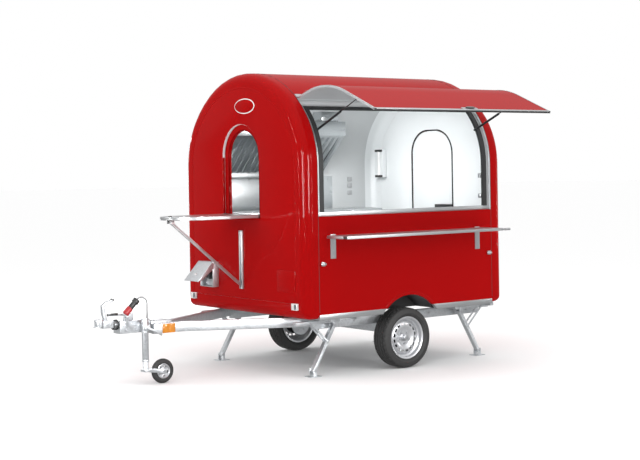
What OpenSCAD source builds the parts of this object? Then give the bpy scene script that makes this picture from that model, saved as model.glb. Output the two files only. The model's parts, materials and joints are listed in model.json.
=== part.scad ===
/* [Body] */
// Length of the body from its front face to its rear face
body_length = 2475; // [2200:5:3200]
// Width of the body across its side walls
body_width = 2000; // [1700:5:2400]
// Height of the body's underside above the ground
body_bottom = 550; // [520:5:700]
// Height of the top of the roof above the ground
roof_top = 2830; // [2500:5:3400]
// Rise of the roof arch above the straight part of the walls
arch_rise = 890; // [750:5:1060]
// How much the crown of the roof is flatter than its shoulders
crown_flattening = 110; // [60:1:160]
// Thickness of the insulated walls, floor and roof
wall = 30; // [20:1:40]
// How far each moulded end cap returns along the sides
cap_return = 156; // [130:1:220]
// Radius of the rounded edge of the end caps
cap_round = 90; // [60:1:110]
// Radius of the lower corners of the end caps
cap_corner = 60; // [40:1:90]
// Flat margin of the end caps inside their rounded edge
cap_lip = 50; // [40:1:80]

/* [Serving side] */
// Height of the sill of the serving opening
serving_sill = 1478; // [1350:1:1600]
// Angle from the top of the roof at which the canopy is hinged
hinge_angle = 41.6; // [36:0.1:48]
// Thickness of the canopy panel
canopy_t = 18; // [12:1:22]
// Angle through which the canopy is open
canopy_open = 67; // [55:1:80]
// Width of the frame's jambs
jamb_w = 76; // [60:1:100]
// Height of the frame's sill member
sill_h = 37; // [25:1:60]
// Thickness of the frame behind the closed canopy
frame_t = 22; // [15:1:30]
// Height of the shelf's top above the ground
shelf_z = 1305; // [1200:1:1400]
// Width of the shelf from its hinge to its outer edge
shelf_w = 280; // [220:1:330]
// Length of the shelf
shelf_length = 1942; // [1850:1:1990]
// Thickness of the shelf
shelf_t = 25; // [18:1:32]

/* [Front window] */
// Height of the sill of the front window
window_sill = 1481; // [1400:1:1600]
// Height of the front window opening
window_h = 803; // [700:1:900]
// Width of the front window opening
window_w = 500; // [420:1:600]
// Width of the moulded recess around the opening
recess_w = 60; // [50:1:80]
// Thickness of the flap that closes the front window
flap_t = 30; // [24:1:34]
// Distance from the flap's hinge to the pin of its stay
flap_pin = 800; // [650:1:820]
// Height of the stay's foot on the front wall when the flap is open
stay_foot_z = 830; // [780:1:900]

/* [Rear door] */
// Width of the door opening
door_w = 620; // [560:1:700]
// Height of the top of the door opening
door_top = 2290; // [2100:1:2350]
// Radius of the upper corners of the door
door_r = 240; // [150:1:270]

/* [Wheels] */
// Outer diameter of the road tyres
tyre_d = 576; // [540:1:620]
// Width of the road tyres
tyre_w = 195; // [165:1:215]
// Diameter over the flanges of the steel wheels
flange_d = 405; // [380:1:420]
// Distance between the centres of the two tyres
track = 1736; // [1650:1:1760]
// Gap between the tyre and the wheel arch
arch_gap = 127; // [100:1:150]
// Diameter of the jockey wheel
jockey_d = 222; // [200:1:240]

/* [Chassis] */
// Height of the chassis beams
beam_h = 90; // [70:1:110]
// Width of the chassis beams
beam_w = 50; // [40:1:60]
// Distance of each side beam from the centre line
beam_y = 680; // [620:1:720]
// Distance from the axle to the point where the drawbar beams meet
drawbar_x = 1990; // [1850:5:2150]
// Distance from the axle to the centre of the coupling ball
ball_x = 2775; // [2600:5:2900]
// Radius of the towing ball's socket
ball_r = 25; // [24.5:0.1:25.5]

/* [Steadies] */
// Distance from the axle to the pivots of the front steadies
steady_front_x = 750; // [650:5:800]
// Distance from the axle to the pivots of the rear steadies
steady_rear_x = 850; // [750:5:900]
// Distance of the steadies from the centre line
steady_y = 765; // [740:1:790]
// How far the foot stands out from the pivot
steady_reach = 240; // [200:1:270]

/* [Hidden] */
$fn = 48;

// Colours
red = "#b00c0c";
steel = "#b9bdc0";
bright = "#d5d8da";
grey = "#9a9c9b";
black = "#1c1d1f";
white = "#eceeee";
amber = "#d98200";

// Clearances
running = 0.05;
swing_gap = 6;
hairline = 0.5;

// Body outline
half_w = body_width / 2;
face_x = body_length / 2;
seam_x = face_x - cap_return;
eaves_z = roof_top - arch_rise;
shoulder_r = arch_rise - crown_flattening;
shoulder_y = half_w - shoulder_r;
crown_r = (pow(shoulder_y, 2) + pow(arch_rise, 2) - pow(shoulder_r, 2)) / (2 * crown_flattening);
crown_z = roof_top - crown_r;
lean = asin(shoulder_y / (crown_r - shoulder_r));
far = 6000;

// Levels below the body
rail_h = 50;
rail_top = body_bottom + 40;
floor_top = body_bottom + 40;
crossbar_h = 38;
beam_top = body_bottom - crossbar_h;
drawbar_top = body_bottom - 10;
wheel_z = tyre_d / 2;
arch_r = tyre_d / 2 + arch_gap;
tyre_y = track / 2;

// Canopy
canopy_axis_up = 12;
canopy_gap = 6;
canopy_axis = [
  (crown_r + canopy_axis_up) * sin(hinge_angle),
  crown_z + (crown_r + canopy_axis_up) * cos(hinge_angle)
];
canopy_start = hinge_angle + 1.1;
header_angle = hinge_angle + 5;
frame_off = canopy_t + 5;
opening_x = seam_x - jamb_w;

// Gas struts, as height and distance from the canopy's axis when the canopy is open
strut_x = opening_x - 20;
strut_foot = [half_w - 112, eaves_z + 330];
strut_eye_rel = [740, -60];
strut_eye = canopy_axis + strut_eye_rel;
strut_vec = strut_eye - strut_foot;
strut_len = norm(strut_vec);
strut_turn = atan2(strut_vec[1], strut_vec[0]);
strut_tube_l = 370;

// Front flap
flap_axis_x = face_x - flap_t / 2;
flap_axis_z = window_sill - 6;
recess_back = flap_axis_x - flap_t / 2 - 5;
recess_half = window_w / 2 + recess_w;
recess_bottom = window_sill - 26;
recess_top = window_sill + window_h + recess_w;
flap_half = recess_half - 15;
flap_l = window_h + recess_w - 3;
channel_d = 20;
stay_x = face_x + channel_d + 15;
stay_drop = 35;
stay_pin = [flap_axis_x + flap_pin, flap_axis_z - stay_drop];
stay_vec = [stay_x - stay_pin[0], stay_foot_z - stay_pin[1]];
stay_len = norm(stay_vec);
stay_turn = atan2(stay_vec[1], stay_vec[0]);

// Rear door
door_bottom = body_bottom + 150;
door_axis_x = -face_x - 15;
door_axis_y = -door_w / 2 - 15;
door_t = wall + 4;

// Shelf
shelf_front = 1012;
shelf_rear = shelf_front - shelf_length;
shelf_axis_y = half_w + 45;
shelf_axis_z = shelf_z - shelf_t / 2;
bracket_xs = [920, -885];

// Steadies
steady_pivot_z = beam_top - 54;
foot_pin_z = 55;
steady_l = norm([steady_reach, steady_pivot_z - foot_pin_z]);
steady_turn = atan2(steady_pivot_z - foot_pin_z, steady_reach);
brace_at = 170;
steady_bar_h = 30;
brace_top_z = beam_top - steady_bar_h / 2;
brace_pin = [brace_at * cos(steady_turn), steady_pivot_z - brace_at * sin(steady_turn)];
brace_rise = brace_top_z - brace_pin[1];
brace_run = 193;
steady_leg_w = 50;

// Drawbar and coupling
drawbar_gap = 110;
drawbar_end = 2296;
tube_z = body_bottom + 22;
mast_x = 2379;
mast_y = 118;
jockey_trail = 172;

// Outer box, used to place the origin under its middle
tip_x = ball_x + 62;
canopy_edge = canopy_axis + rot2([half_w - canopy_axis[0], serving_sill + canopy_gap - canopy_axis[1]], canopy_open);
back_x = -face_x - 30;
left_y = canopy_edge[0];
right_y = -half_w - 3;
origin_shift = [-(tip_x + back_x) / 2, -(left_y + right_y) / 2, 0];

function rot2(p, a) = [p[0] * cos(a) - p[1] * sin(a), p[0] * sin(a) + p[1] * cos(a)];
function arc(c, r, a0, a1, n) = [for (i = [0:n]) c + r * [cos(a0 + (a1 - a0) * i / n), sin(a0 + (a1 - a0) * i / n)]];
function ray(a, r) = [r * sin(a), crown_z + r * cos(a)];

// Cross-section of the body, drawn inside its outer skin by t
function section(t) = let (k = max(cap_corner - t, 4)) concat(
  arc([half_w - t - k, body_bottom + t + k], k, -90, 0, 5),
  arc([shoulder_y, eaves_z], shoulder_r - t, 0, 90 - lean, 12),
  arc([0, crown_z], crown_r - t, 90 - lean, 90 + lean, 16),
  arc([-shoulder_y, eaves_z], shoulder_r - t, 90 + lean, 180, 12),
  arc([-half_w + t + k, body_bottom + t + k], k, 180, 270, 5)
);

// Draws a shape in the plane across the vehicle and carries it from x0 to x1
module along_x(x0, x1) {
  translate([x0, 0, 0]) rotate([90, 0, 90]) linear_extrude(x1 - x0) children();
}

// Draws a shape in the side plane and carries it from y0 to y1
module along_y(y0, y1) {
  translate([0, y1, 0]) rotate([90, 0, 0]) linear_extrude(y1 - y0) children();
}

module box(lo, hi) {
  translate(lo) cube(hi - lo);
}

module rod_y(x, z, y0, y1, r) {
  translate([x, y0, z]) rotate([-90, 0, 0]) cylinder(h = y1 - y0, r = r);
}

module rod_x(y, z, x0, x1, r) {
  translate([x0, y, z]) rotate([0, 90, 0]) cylinder(h = x1 - x0, r = r);
}

// A bar between two points of the side plane, from y0 to y1
module bar_y(p, q, w, y0, y1) {
  a = atan2(q[1] - p[1], q[0] - p[0]);
  translate([p[0], 0, p[1]]) rotate([0, -a, 0]) box([0, y0, -w / 2], [norm(q - p), y1, w / 2]);
}

module at_origin() {
  translate(origin_shift) children();
}

// Arched outline with round top, from the sill upwards
module arch_shape(half, bottom, top, r) {
  k = min(r, half);
  polygon(concat(
    [[-half, bottom], [half, bottom]],
    arc([half - k, top - k], k, 0, 90, 12),
    arc([-half + k, top - k], k, 90, 180, 12)
  ));
}

// Moulded edge of an end wall: from the seam, round the edge and onto the flat face, and back inside
cap_turns = [0, 18, 36, 54, 72, 90];
cap_n = len(section(0));
wall_edge = cap_round + cap_lip;

function cap_row(t, x) = [for (q = section(t)) [x, q[0], q[1]]];
function cap_rows(t, face) = let (r = cap_round - t, start = face_x - cap_round) concat(
  [cap_row(t, seam_x)],
  [for (a = cap_turns) cap_row(t + r * (1 - cos(a)), start + r * sin(a))],
  [cap_row(wall_edge, face)]
);

module cap_shell() {
  outer = cap_rows(0, face_x);
  inner = cap_rows(wall, face_x - wall);
  last = len(outer) - 1;
  rows = concat([for (k = [last:-1:0]) outer[k]], inner);
  count = len(rows);
  polyhedron(
    points = [for (row = rows) each row],
    faces = [for (k = [0:count - 1]) for (i = [0:cap_n - 1])
      let (j = (i + 1) % cap_n, a = k * cap_n, b = ((k + 1) % count) * cap_n)
        each [[a + i, a + j, b + j], [a + i, b + j, b + i]]],
    convexity = 8
  );
}

module end_wall() {
  along_x(face_x - wall, face_x) polygon(section(wall_edge));
}

module front_cap() color(red) cap_shell();

module front_wall() color(red) difference() {
  end_wall();
  along_x(face_x - wall - 5, face_x + 5)
    arch_shape(recess_half, recess_bottom, recess_top, recess_half);
}

module window_recess() color(red) {
  difference() {
    along_x(recess_back - wall, face_x - wall)
      arch_shape(recess_half + 25, recess_bottom - 25, recess_top + 25, recess_half + 25);
    along_x(recess_back, face_x)
      arch_shape(recess_half, recess_bottom, recess_top, recess_half);
    along_x(recess_back - wall - 10, face_x)
      arch_shape(window_w / 2, window_sill, window_sill + window_h, window_w / 2);
  }
  for (s = [-1, 1]) scale([1, s, 1]) {
    box([face_x - wall, recess_half - 9, flap_axis_z - 16], [face_x - 4, recess_half - 1, flap_axis_z + 16]);
    rod_y(flap_axis_x, flap_axis_z, flap_half - 20, recess_half - 5, 6);
  }
}

module rear_cap() color(red) mirror([1, 0, 0]) cap_shell();

module rear_wall() color(red) difference() {
  mirror([1, 0, 0]) end_wall();
  along_x(-face_x - 5, -face_x + wall + 5)
    arch_shape(door_w / 2, door_bottom, door_top, door_r);
}

module roof_panel() color(red) {
  along_x(-seam_x, seam_x) intersection() {
    difference() {
      polygon(section(0));
      polygon(section(wall));
    }
    polygon([[-far, eaves_z], [-far, far], ray(hinge_angle, far), [0, crown_z], [0, eaves_z]]);
  }
}

module wheel_arch_cut() {
  rod_y(0, wheel_z, -half_w - 50, half_w + 50, arch_r);
}

module side_panel_left() color(red) difference() {
  box([-seam_x, half_w - wall, rail_top], [seam_x, half_w, serving_sill]);
  wheel_arch_cut();
}

module side_panel_right() color(red) difference() {
  box([-seam_x, -half_w, rail_top], [seam_x, -half_w + wall, eaves_z]);
  wheel_arch_cut();
}

module side_rails() color(bright) difference() {
  for (s = [-1, 1])
    translate([-seam_x, s * (half_w - 18.5) - 21.5, rail_top - rail_h]) cube([2 * seam_x, 43, rail_h]);
  rod_y(0, wheel_z, -half_w - 50, half_w + 50, arch_r + wheel_box_t);
}

wheel_box_in = tyre_y - tyre_w / 2 - 70;
wheel_box_t = 6;
wheel_box_x = sqrt(pow(arch_r + wheel_box_t, 2) - pow(body_bottom - wheel_z, 2));

module wheel_boxes() color(black) for (s = [-1, 1]) scale([1, s, 1]) intersection() {
  difference() {
    rod_y(0, wheel_z, wheel_box_in, half_w - wall, arch_r + wheel_box_t);
    rod_y(0, wheel_z, wheel_box_in + wheel_box_t, half_w - wall + 1, arch_r);
  }
  box([-far, -far, body_bottom], [far, far, far]);
}

module floor() color("#6d7072") difference() {
  union() {
    box([-seam_x, -half_w + 40, body_bottom], [seam_x, half_w - 40, floor_top]);
    box([-face_x + cap_round + 8, -half_w + wall + 40, body_bottom + wall],
      [face_x - cap_round - 8, half_w - wall - 40, floor_top]);
  }
  for (s = [-1, 1])
    translate([-wheel_box_x, s > 0 ? wheel_box_in : -half_w, body_bottom - 1])
      cube([2 * wheel_box_x, half_w - wheel_box_in, wall + 40]);
}

module serving_frame() color(grey) {
  frame_shape();
  for (s = [-1, 1])
    rod_x(strut_foot[0], strut_foot[1], s > 0 ? strut_x - 6 : -opening_x - 1, s > 0 ? opening_x + 1 : -strut_x + 6, 4);
}

module frame_shape() difference() {
  along_x(-seam_x, seam_x) intersection() {
    difference() {
      polygon(section(frame_off));
      polygon(section(frame_off + frame_t));
    }
    polygon([ray(hinge_angle, far), [far, serving_sill], [0, serving_sill], [0, crown_z]]);
  }
  along_x(-opening_x, opening_x)
    polygon([ray(header_angle, far), [far, serving_sill + sill_h], [0, serving_sill + sill_h], [0, crown_z]]);
}

module hinge_rail() color(bright) {
  along_x(-seam_x, seam_x) intersection() {
    difference() {
      polygon(section(-10));
      polygon(section(0));
    }
    polygon([ray(hinge_angle - 2.6, far), ray(hinge_angle - 0.3, far), [0, crown_z]]);
  }
}

module canopy_closed() {
  along_x(-seam_x + canopy_gap, seam_x - canopy_gap) intersection() {
    difference() {
      polygon(section(0));
      polygon(section(canopy_t));
    }
    polygon([ray(canopy_start, far), [far, serving_sill + canopy_gap], [0, serving_sill + canopy_gap], [0, crown_z]]);
  }
}

// Lug on the canopy beside the eye of each gas strut, in the open position
module strut_lugs() {
  for (s = [-1, 1])
    along_x(s * (strut_x - 14) - 3, s * (strut_x - 14) + 3)
      polygon([
        strut_eye + [-14, -12], strut_eye + [14, -12], strut_eye + [16, 0],
        strut_eye + [34, 34], strut_eye + [-34, 63], strut_eye + [-16, 0]
      ]);
}

module canopy() color(red) {
  translate([0, canopy_axis[0], canopy_axis[1]]) rotate([canopy_open, 0, 0])
    translate([0, -canopy_axis[0], -canopy_axis[1]]) canopy_closed();
  strut_lugs();
}

module strut_place(s) {
  translate([s * strut_x, strut_foot[0], strut_foot[1]]) rotate([strut_turn, 0, 0]) children();
}

module strut_tube(s) color(black) strut_place(s) difference() {
  union() {
    rotate([-90, 0, 0]) cylinder(h = strut_tube_l, r = 11);
    translate([-6, 0, 0]) rotate([0, 90, 0]) cylinder(h = 12, r = 11);
  }
  translate([0, 50, 0]) rotate([-90, 0, 0]) cylinder(h = strut_tube_l, r = 5 + running);
  translate([-20, 0, 0]) rotate([0, 90, 0]) cylinder(h = 40, r = 4 + running);
}

module strut_rod(s) color(bright) strut_place(s) {
  translate([0, strut_tube_l - 95, 0]) rotate([-90, 0, 0]) cylinder(h = strut_len - strut_tube_l + 88, r = 5);
  translate([-6, strut_len, 0]) rotate([0, 90, 0]) cylinder(h = 12, r = 10);
  translate([s > 0 ? -10.5 : 5, strut_len, 0]) rotate([0, 90, 0]) cylinder(h = 5.5, r = 5);
}

module strut_tube_front() { strut_tube(1); }
module strut_tube_rear() { strut_tube(-1); }
module strut_rod_front() { strut_rod(1); }
module strut_rod_rear() { strut_rod(-1); }

module front_flap() color(bright) translate([flap_axis_x, 0, flap_axis_z]) difference() {
  union() {
    linear_extrude(flap_t, center = true) rotate(-90) arch_shape(flap_half, 0, flap_l, flap_half);
    rod_y(0, 0, -flap_half, flap_half, flap_t / 2);
    for (s = [-1, 1])
      box([flap_pin - 25, s * 20 - 3, -stay_drop - 12], [flap_pin + 25, s * 20 + 3, -flap_t / 2]);
  }
  rod_y(flap_pin, -stay_drop, -40, 40, 5 + running);
  for (s = [-1, 1]) scale([1, s, 1]) rod_y(0, 0, flap_half - 21, flap_half + 1, 6 + running);
}

module flap_stay() color(bright) translate([stay_pin[0], 0, stay_pin[1]]) rotate([0, -stay_turn, 0]) {
  difference() {
    box([-14, -12, -12], [stay_len - 4, 12, 12]);
    rod_y(0, 0, -20, 20, 5 - running);
  }
  rod_y(0, 0, -26, 26, 5);
  rod_y(stay_len, 0, -12, 12, 12);
}

module flap_channel() color(bright) {
  difference() {
    box([face_x, -26, 780], [face_x + channel_d, 26, 1335]);
    box([face_x + 4, -14, 770], [face_x + channel_d + 1, 14, 1345]);
  }
}

module rear_door() color(red) difference() {
  g = swing_gap;
  union() {
    along_x(-face_x - 4, -face_x + door_t - 4)
      arch_shape(door_w / 2 - g, door_bottom + g, door_top - g, door_r - g);
    for (z = [door_bottom + 300, door_top - 500])
      translate([door_axis_x, door_axis_y, z]) difference() {
        union() {
          cylinder(h = 80, r = 11);
          box([-11, 0, 0], [11, 60, 80]);
        }
        translate([0, 0, -1]) cylinder(h = 82, r = 6 + running);
      }
  }
}

module door_hinges() color(bright) for (z = [door_bottom + 300, door_top - 500])
  translate([door_axis_x, door_axis_y, z]) {
    translate([0, 0, -14]) cylinder(h = 108, r = 6);
    for (k = [-14, 85])
      translate([-9, -11, k]) cube([-face_x - door_axis_x + 9, 22, 9]);
  }

module shelf_fittings() color(bright) {
  for (x = bracket_xs) {
    difference() {
      union() {
        box([x - 30, half_w, 1092], [x + 30, half_w + 7, shelf_axis_z + 20]);
        for (s = [-1, 1])
          box([x + s * 26 - 4, half_w + 7, shelf_axis_z - 16], [x + s * 26 + 4, shelf_axis_y + 12, shelf_axis_z + 10]);
      }
    }
    rod_x(shelf_axis_y, shelf_axis_z, x - 22, x + 22, 5);
  }
  for (s = [-1, 1])
    box([s * 1040 - 18, half_w, 1030], [s * 1040 + 18, half_w + 16, 1066]);
}

module side_shelf() color(bright) difference() {
  top = shelf_axis_z + shelf_t / 2;
  edge = shelf_axis_y + shelf_w;
  union() {
    box([shelf_rear, shelf_axis_y - 12, top - 5], [shelf_front, edge, top]);
    box([shelf_rear, edge - 6, top - shelf_t], [shelf_front, edge, top - 5]);
    for (x = [shelf_rear, shelf_front - 6])
      translate([x, shelf_axis_y - 12, top - shelf_t]) cube([6, shelf_w + 6, shelf_t - 5]);
    rod_x(edge - 32, top - 15, shelf_rear - 120, shelf_rear + 3, 7);
    rod_x(edge - 32, top - 15, shelf_rear - 118, shelf_rear - 50, 12);
    for (x = bracket_xs)
      box([x - 19, shelf_axis_y - 12, top - shelf_t], [x + 19, edge - 6, top - 5]);
  }
  for (x = bracket_xs) {
    for (s = [-1, 1])
      box([x + s * 26 - 5, 0, shelf_axis_z - 60], [x + s * 26 + 5, shelf_axis_y + 19, shelf_axis_z + 60]);
    rod_x(shelf_axis_y, shelf_axis_z, x - 40, x + 40, 5 + running);
  }
}

module chassis_beams() color(steel) for (s = [-1, 1])
  translate([-seam_x - 90, s * beam_y - beam_w / 2, beam_top - beam_h]) cube([seam_x + 90 + 930, beam_w, beam_h]);

// Distance of each crossbar from the axle, and half its length
crossbar_list = [[-1120, half_w - 44], [-640, half_w - 44], [-180, beam_y + 20], [180, beam_y + 20], [600, half_w - 44], [905, half_w - 44]];
module crossbars() color(steel) for (c = crossbar_list)
  box([c[0] - 22, -c[1], beam_top], [c[0] + 22, c[1], body_bottom]);

module drawbar() color(steel) for (s = [-1, 1]) scale([1, s, 1])
  translate([0, 0, drawbar_top - beam_h]) linear_extrude(beam_h) polygon([
    [930.5, beam_y - beam_w / 2], [930.5, beam_y + beam_w / 2], [drawbar_x + 14, drawbar_gap + beam_w / 2],
    [drawbar_end, drawbar_gap + beam_w / 2], [drawbar_end, drawbar_gap - beam_w / 2],
    [drawbar_x, drawbar_gap - beam_w / 2]
  ]);

module overrun_housing() color(steel) {
  difference() {
    union() {
      box([2080, -drawbar_gap + beam_w / 2, drawbar_top - beam_h + 4], [drawbar_end, drawbar_gap - beam_w / 2, drawbar_top + 20]);
      box([drawbar_end, -62, drawbar_top - 70], [2600, 62, drawbar_top + 40]);
      plug_holder();
    }
    rod_x(0, tube_z - 22, 2200, 2700, 24 + running);
  }
}

module coupling() color(bright) {
  difference() {
    union() {
      rod_x(0, tube_z - 22, 2300, ball_x - 30, 24);
      rod_x(0, tube_z - 22, 2604, 2640, 40);
      box([2650, -35, tube_z - 44], [ball_x - ball_r - 1, 35, tube_z + 24]);
      translate([ball_x, 0, tube_z - 30]) cylinder(h = 66, r = 42);
    }
    translate([ball_x, 0, tube_z - 51]) cylinder(h = 70, r = ball_r);
  }
}

module coupling_handle() color(bright) translate([ball_x, 0, tube_z]) along_y(-20, 20) polygon([
  [-74, 24], [-43, 24], [-43, 40], [-26, 90], [-24, 160], [-60, 188], [-140, 208], [-146, 192], [-68, 166],
  [-46, 148], [-54, 88]
]);

module handbrake_lever() color(steel) translate([0, 0, drawbar_top + 40]) along_y(-10, 10) polygon([
  [2436, 0], [2530, 0], [2524, 44], [2690, 52], [2690, 72], [2440, 62]
]);

module jockey_mast() color(steel) {
  difference() {
    union() {
      translate([mast_x, mast_y, 210]) cylinder(h = 390, r = 30);
      box([mast_x - 60, 62, drawbar_top - 62], [mast_x + 26, mast_y - 12, drawbar_top + 10]);
      box([mast_x - 34, mast_y + 16, drawbar_top - 50], [mast_x + 22, mast_y + 42, drawbar_top - 6]);
    }
    translate([mast_x, mast_y, 205]) cylinder(h = 390, r = 24 + running);
  }
  translate([mast_x, mast_y, 599]) cylinder(h = 18, r = 12);
  translate([0, 0, drawbar_top - 28]) along_y(mast_y + 41, mast_y + 53) polygon([
    [mast_x - 4, -12], [mast_x + 16, -4], [mast_x + 8, 14], [mast_x - 90, -24], [mast_x - 150, -62],
    [mast_x - 142, -78], [mast_x - 82, -42]
  ]);
}

module jockey_fork() color(steel) {
  difference() {
    union() {
      translate([mast_x, mast_y, 130]) cylinder(h = 450, r = 24);
      box([mast_x - 44, mast_y - 40, 121], [mast_x + 30, mast_y + 40, 140]);
      for (s = [-1, 1])
        bar_y([mast_x - 20, 133], [mast_x - jockey_trail, jockey_d / 2], 34, mast_y + s * 37 - 2.5, mast_y + s * 37 + 2.5);
      for (s = [-1, 1])
        rod_y(mast_x - jockey_trail, jockey_d / 2, mast_y + s * 37 - 3.5, mast_y + s * 37 + 3.5, 20);
    }
    rod_y(mast_x - jockey_trail, jockey_d / 2, mast_y - 60, mast_y + 60, 8 + running);
  }
}

module jockey_wheel() color(black) translate([mast_x - jockey_trail, mast_y, jockey_d / 2]) rotate([90, 0, 0]) {
  rotate_extrude($fn = 64) polygon(concat(
    [[8, -28], [30, -28], [30, -10], [62, -10], [62, -25]],
    arc([jockey_d / 2 - 25, 0], 25, -90, 90, 12),
    [[62, 25], [62, 10], [30, 10], [30, 28], [8, 28]]
  ));
  cylinder(h = 86, r = 8, center = true);
}

module axle() color(steel) {
  tube_x = 150;
  tube_h = 80;
  tube_top = beam_top - beam_h;
  box([tube_x - tube_h / 2, -beam_y - 40, tube_top - tube_h], [tube_x + tube_h / 2, beam_y + 40, tube_top]);
  for (s = [-1, 1]) {
    bar_y([tube_x, tube_top - tube_h / 2], [0, wheel_z], 70, s * (beam_y + 55) - 15, s * (beam_y + 55) + 15);
    rod_y(0, wheel_z, s * (beam_y + 55) - 15, s * (beam_y + 55) + 15, 42);
    scale([1, s, 1]) rod_y(0, wheel_z, beam_y + 69, tyre_y + 15, 18);
    scale([1, s, 1]) rod_y(0, wheel_z, beam_y + 69, beam_y + 82, 118);
  }
}

rim_r = flange_d / 2;
seat_r = rim_r - 14;
module road_wheel() {
  w = 76;
  difference() {
    rotate_extrude($fn = 72) union() {
      polygon([
        [seat_r - 4, -w], [rim_r, -w - 4], [rim_r, -w + 1], [seat_r, -w + 6], [seat_r - 2, -20],
        [seat_r - 18, -8], [seat_r - 18, 24], [seat_r - 2, 34], [seat_r, w - 6], [rim_r, w - 1],
        [rim_r, w + 4], [seat_r - 4, w], [seat_r - 6, 36], [seat_r - 22, 26], [seat_r - 22, -10],
        [seat_r - 6, -22]
      ]);
      polygon([
        [34, 30], [90, 30], [110, 46], [150, 40], [seat_r - 22, 20], [seat_r - 22, 12], [150, 34],
        [112, 40], [92, 22], [34, 22]
      ]);
      polygon([[18 + running, -62], [112, -62], [112, 0], [60, 22.5], [34, 22.5], [34, 46], [18 + running, 46]]);
    }
  }
  difference() {
    translate([0, 0, 40]) cylinder(h = 34, r = 33);
    translate([0, 0, 39]) cylinder(h = 26, r = 28);
  }
}

module tyre() rotate_extrude($fn = 72) {
  r = tyre_d / 2;
  w = tyre_w / 2;
  difference() {
    polygon([
      [seat_r + 0.3, -70], [rim_r + 6, -74], [rim_r + 30, -w], [r - 34, -w + 2], [r - 12, -w + 14],
      [r - 2, -w + 34], [r, 0], [r - 2, w - 34], [r - 12, w - 14], [r - 34, w - 2],
      [rim_r + 30, w], [rim_r + 6, 74], [seat_r + 0.3, 70]
    ]);
    polygon([
      [0, -52], [rim_r + 8, -62], [rim_r + 32, -w + 14], [r - 22, -w + 20],
      [r - 14, 0], [r - 22, w - 20], [rim_r + 32, w - 14], [rim_r + 8, 62], [0, 52]
    ]);
  }
}

module wheel_place(s) {
  translate([0, s * tyre_y, wheel_z]) rotate([-90 * s, 0, 0]) children();
}

module tyre_left() color(black) wheel_place(1) tyre();
module tyre_right() color(black) wheel_place(-1) tyre();
module wheel_left() color(bright) wheel_place(1) road_wheel();
module wheel_right() color(bright) wheel_place(-1) road_wheel();

// Places a steady: sx is 1 at the front and -1 at the rear, sy is 1 on the left
module steady_place(sx, sy) {
  x = sx > 0 ? steady_front_x : steady_rear_x;
  translate([sx * x, sy * steady_y, 0]) scale([sx, 1, 1]) children();
}

module steady_mounts() color(steel) for (sx = [-1, 1]) for (sy = [-1, 1]) steady_place(sx, sy) {
  box([-60, -25, beam_top - steady_bar_h], [sx > 0 ? 445 : 380, 25, beam_top]);
  for (s = [-1, 1])
    box([-24, s * 29.5 - 3.5, steady_pivot_z - 22], [24, s * 29.5 + 3.5, beam_top]);
  rod_y(0, steady_pivot_z, -27, 27, 8);
}

module steady_leg(sx, sy) color(bright) steady_place(sx, sy) difference() {
  union() {
    translate([0, 0, steady_pivot_z]) rotate([0, steady_turn, 0])
      box([-16, -steady_leg_w / 2, -16], [steady_l + 14, steady_leg_w / 2, 16]);
    for (s = [-1, 1])
      box([steady_reach - 20, s * 28 - 4, 0], [steady_reach + 20, s * 28 + 4, foot_pin_z + 18]);
    box([steady_reach - 62, -52, 0], [steady_reach + 62, 52, 6]);
  }
  rod_y(0, steady_pivot_z, -40, 40, 8 + running);
  rod_y(brace_pin[0], brace_pin[1], -40, 40, 7 + running);
}

module steady_brace(sx, sy) color(bright) steady_place(sx, sy) {
  top = [brace_pin[0] + brace_run, brace_top_z];
  for (s = [-1, 1])
    bar_y(brace_pin, top, 18, s * 29 - 2.5, s * 29 + 2.5);
  for (s = [-1, 1])
    rod_y(brace_pin[0], brace_pin[1], s * 29 - 3, s * 29 + 3, 11);
  rod_y(brace_pin[0], brace_pin[1], -34, 34, 7);
  for (s = [-1, 1])
    rod_y(top[0], top[1], s * 29 - 3, s * 29 + 3, 11);
}

module steady_leg_front_left() { steady_leg(1, 1); }
module steady_leg_front_right() { steady_leg(1, -1); }
module steady_leg_rear_left() { steady_leg(-1, 1); }
module steady_leg_rear_right() { steady_leg(-1, -1); }
module steady_brace_front_left() { steady_brace(1, 1); }
module steady_brace_front_right() { steady_brace(1, -1); }
module steady_brace_rear_left() { steady_brace(-1, 1); }
module steady_brace_rear_right() { steady_brace(-1, -1); }

inlet_y = [-640, -410];
inlet_z = [775, 1020];
inlet_axis = [face_x + 78, inlet_z[1]];
inlet_open = 43;

module inlet_box() color(steel) difference() {
  box([face_x, inlet_y[0], inlet_z[0]], [face_x + 70, inlet_y[1], inlet_z[1]]);
  box([face_x + 6, inlet_y[0] + 8, inlet_z[0] + 8], [face_x + 71, inlet_y[1] - 8, inlet_z[1] - 8]);
}

module inlet_lid() color(steel) translate([inlet_axis[0], 0, inlet_axis[1]]) rotate([0, -inlet_open, 0]) {
  box([-2, inlet_y[0] - 12, -246], [2, inlet_y[1] + 12, 0]);
  for (y = [inlet_y[0] - 12, inlet_y[1] + 8])
    along_y(y, y + 4) polygon([[-2, -2], [-2, -244], [-30, -200], [-52, -40], [-20, -2]]);
}

module marker_lamps() color(white) for (s = [-1, 1])
  box([face_x, s * 850 - 42, 636], [face_x + 24, s * 850 + 42, 696]);

reflector_y = drawbar_gap + beam_w / 2;
module drawbar_reflectors() color(amber) for (s = [-1, 1]) scale([1, s, 1])
  box([2080, reflector_y, drawbar_top - 88], [2210, reflector_y + 12, drawbar_top - 4]);

// Plug of the lead, parked above the housing, and the lead that hangs from it
plug_a = [2551, 648];
plug_b = [2434, 765];
lead_y = 75;
lead_r = 7.5;

module plug_holder() {
  box([2514, 60, drawbar_top - 10], [2548, 70, 627]);
  box([2514, 60, 615], [2548, lead_y + 14, 627]);
}

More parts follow.
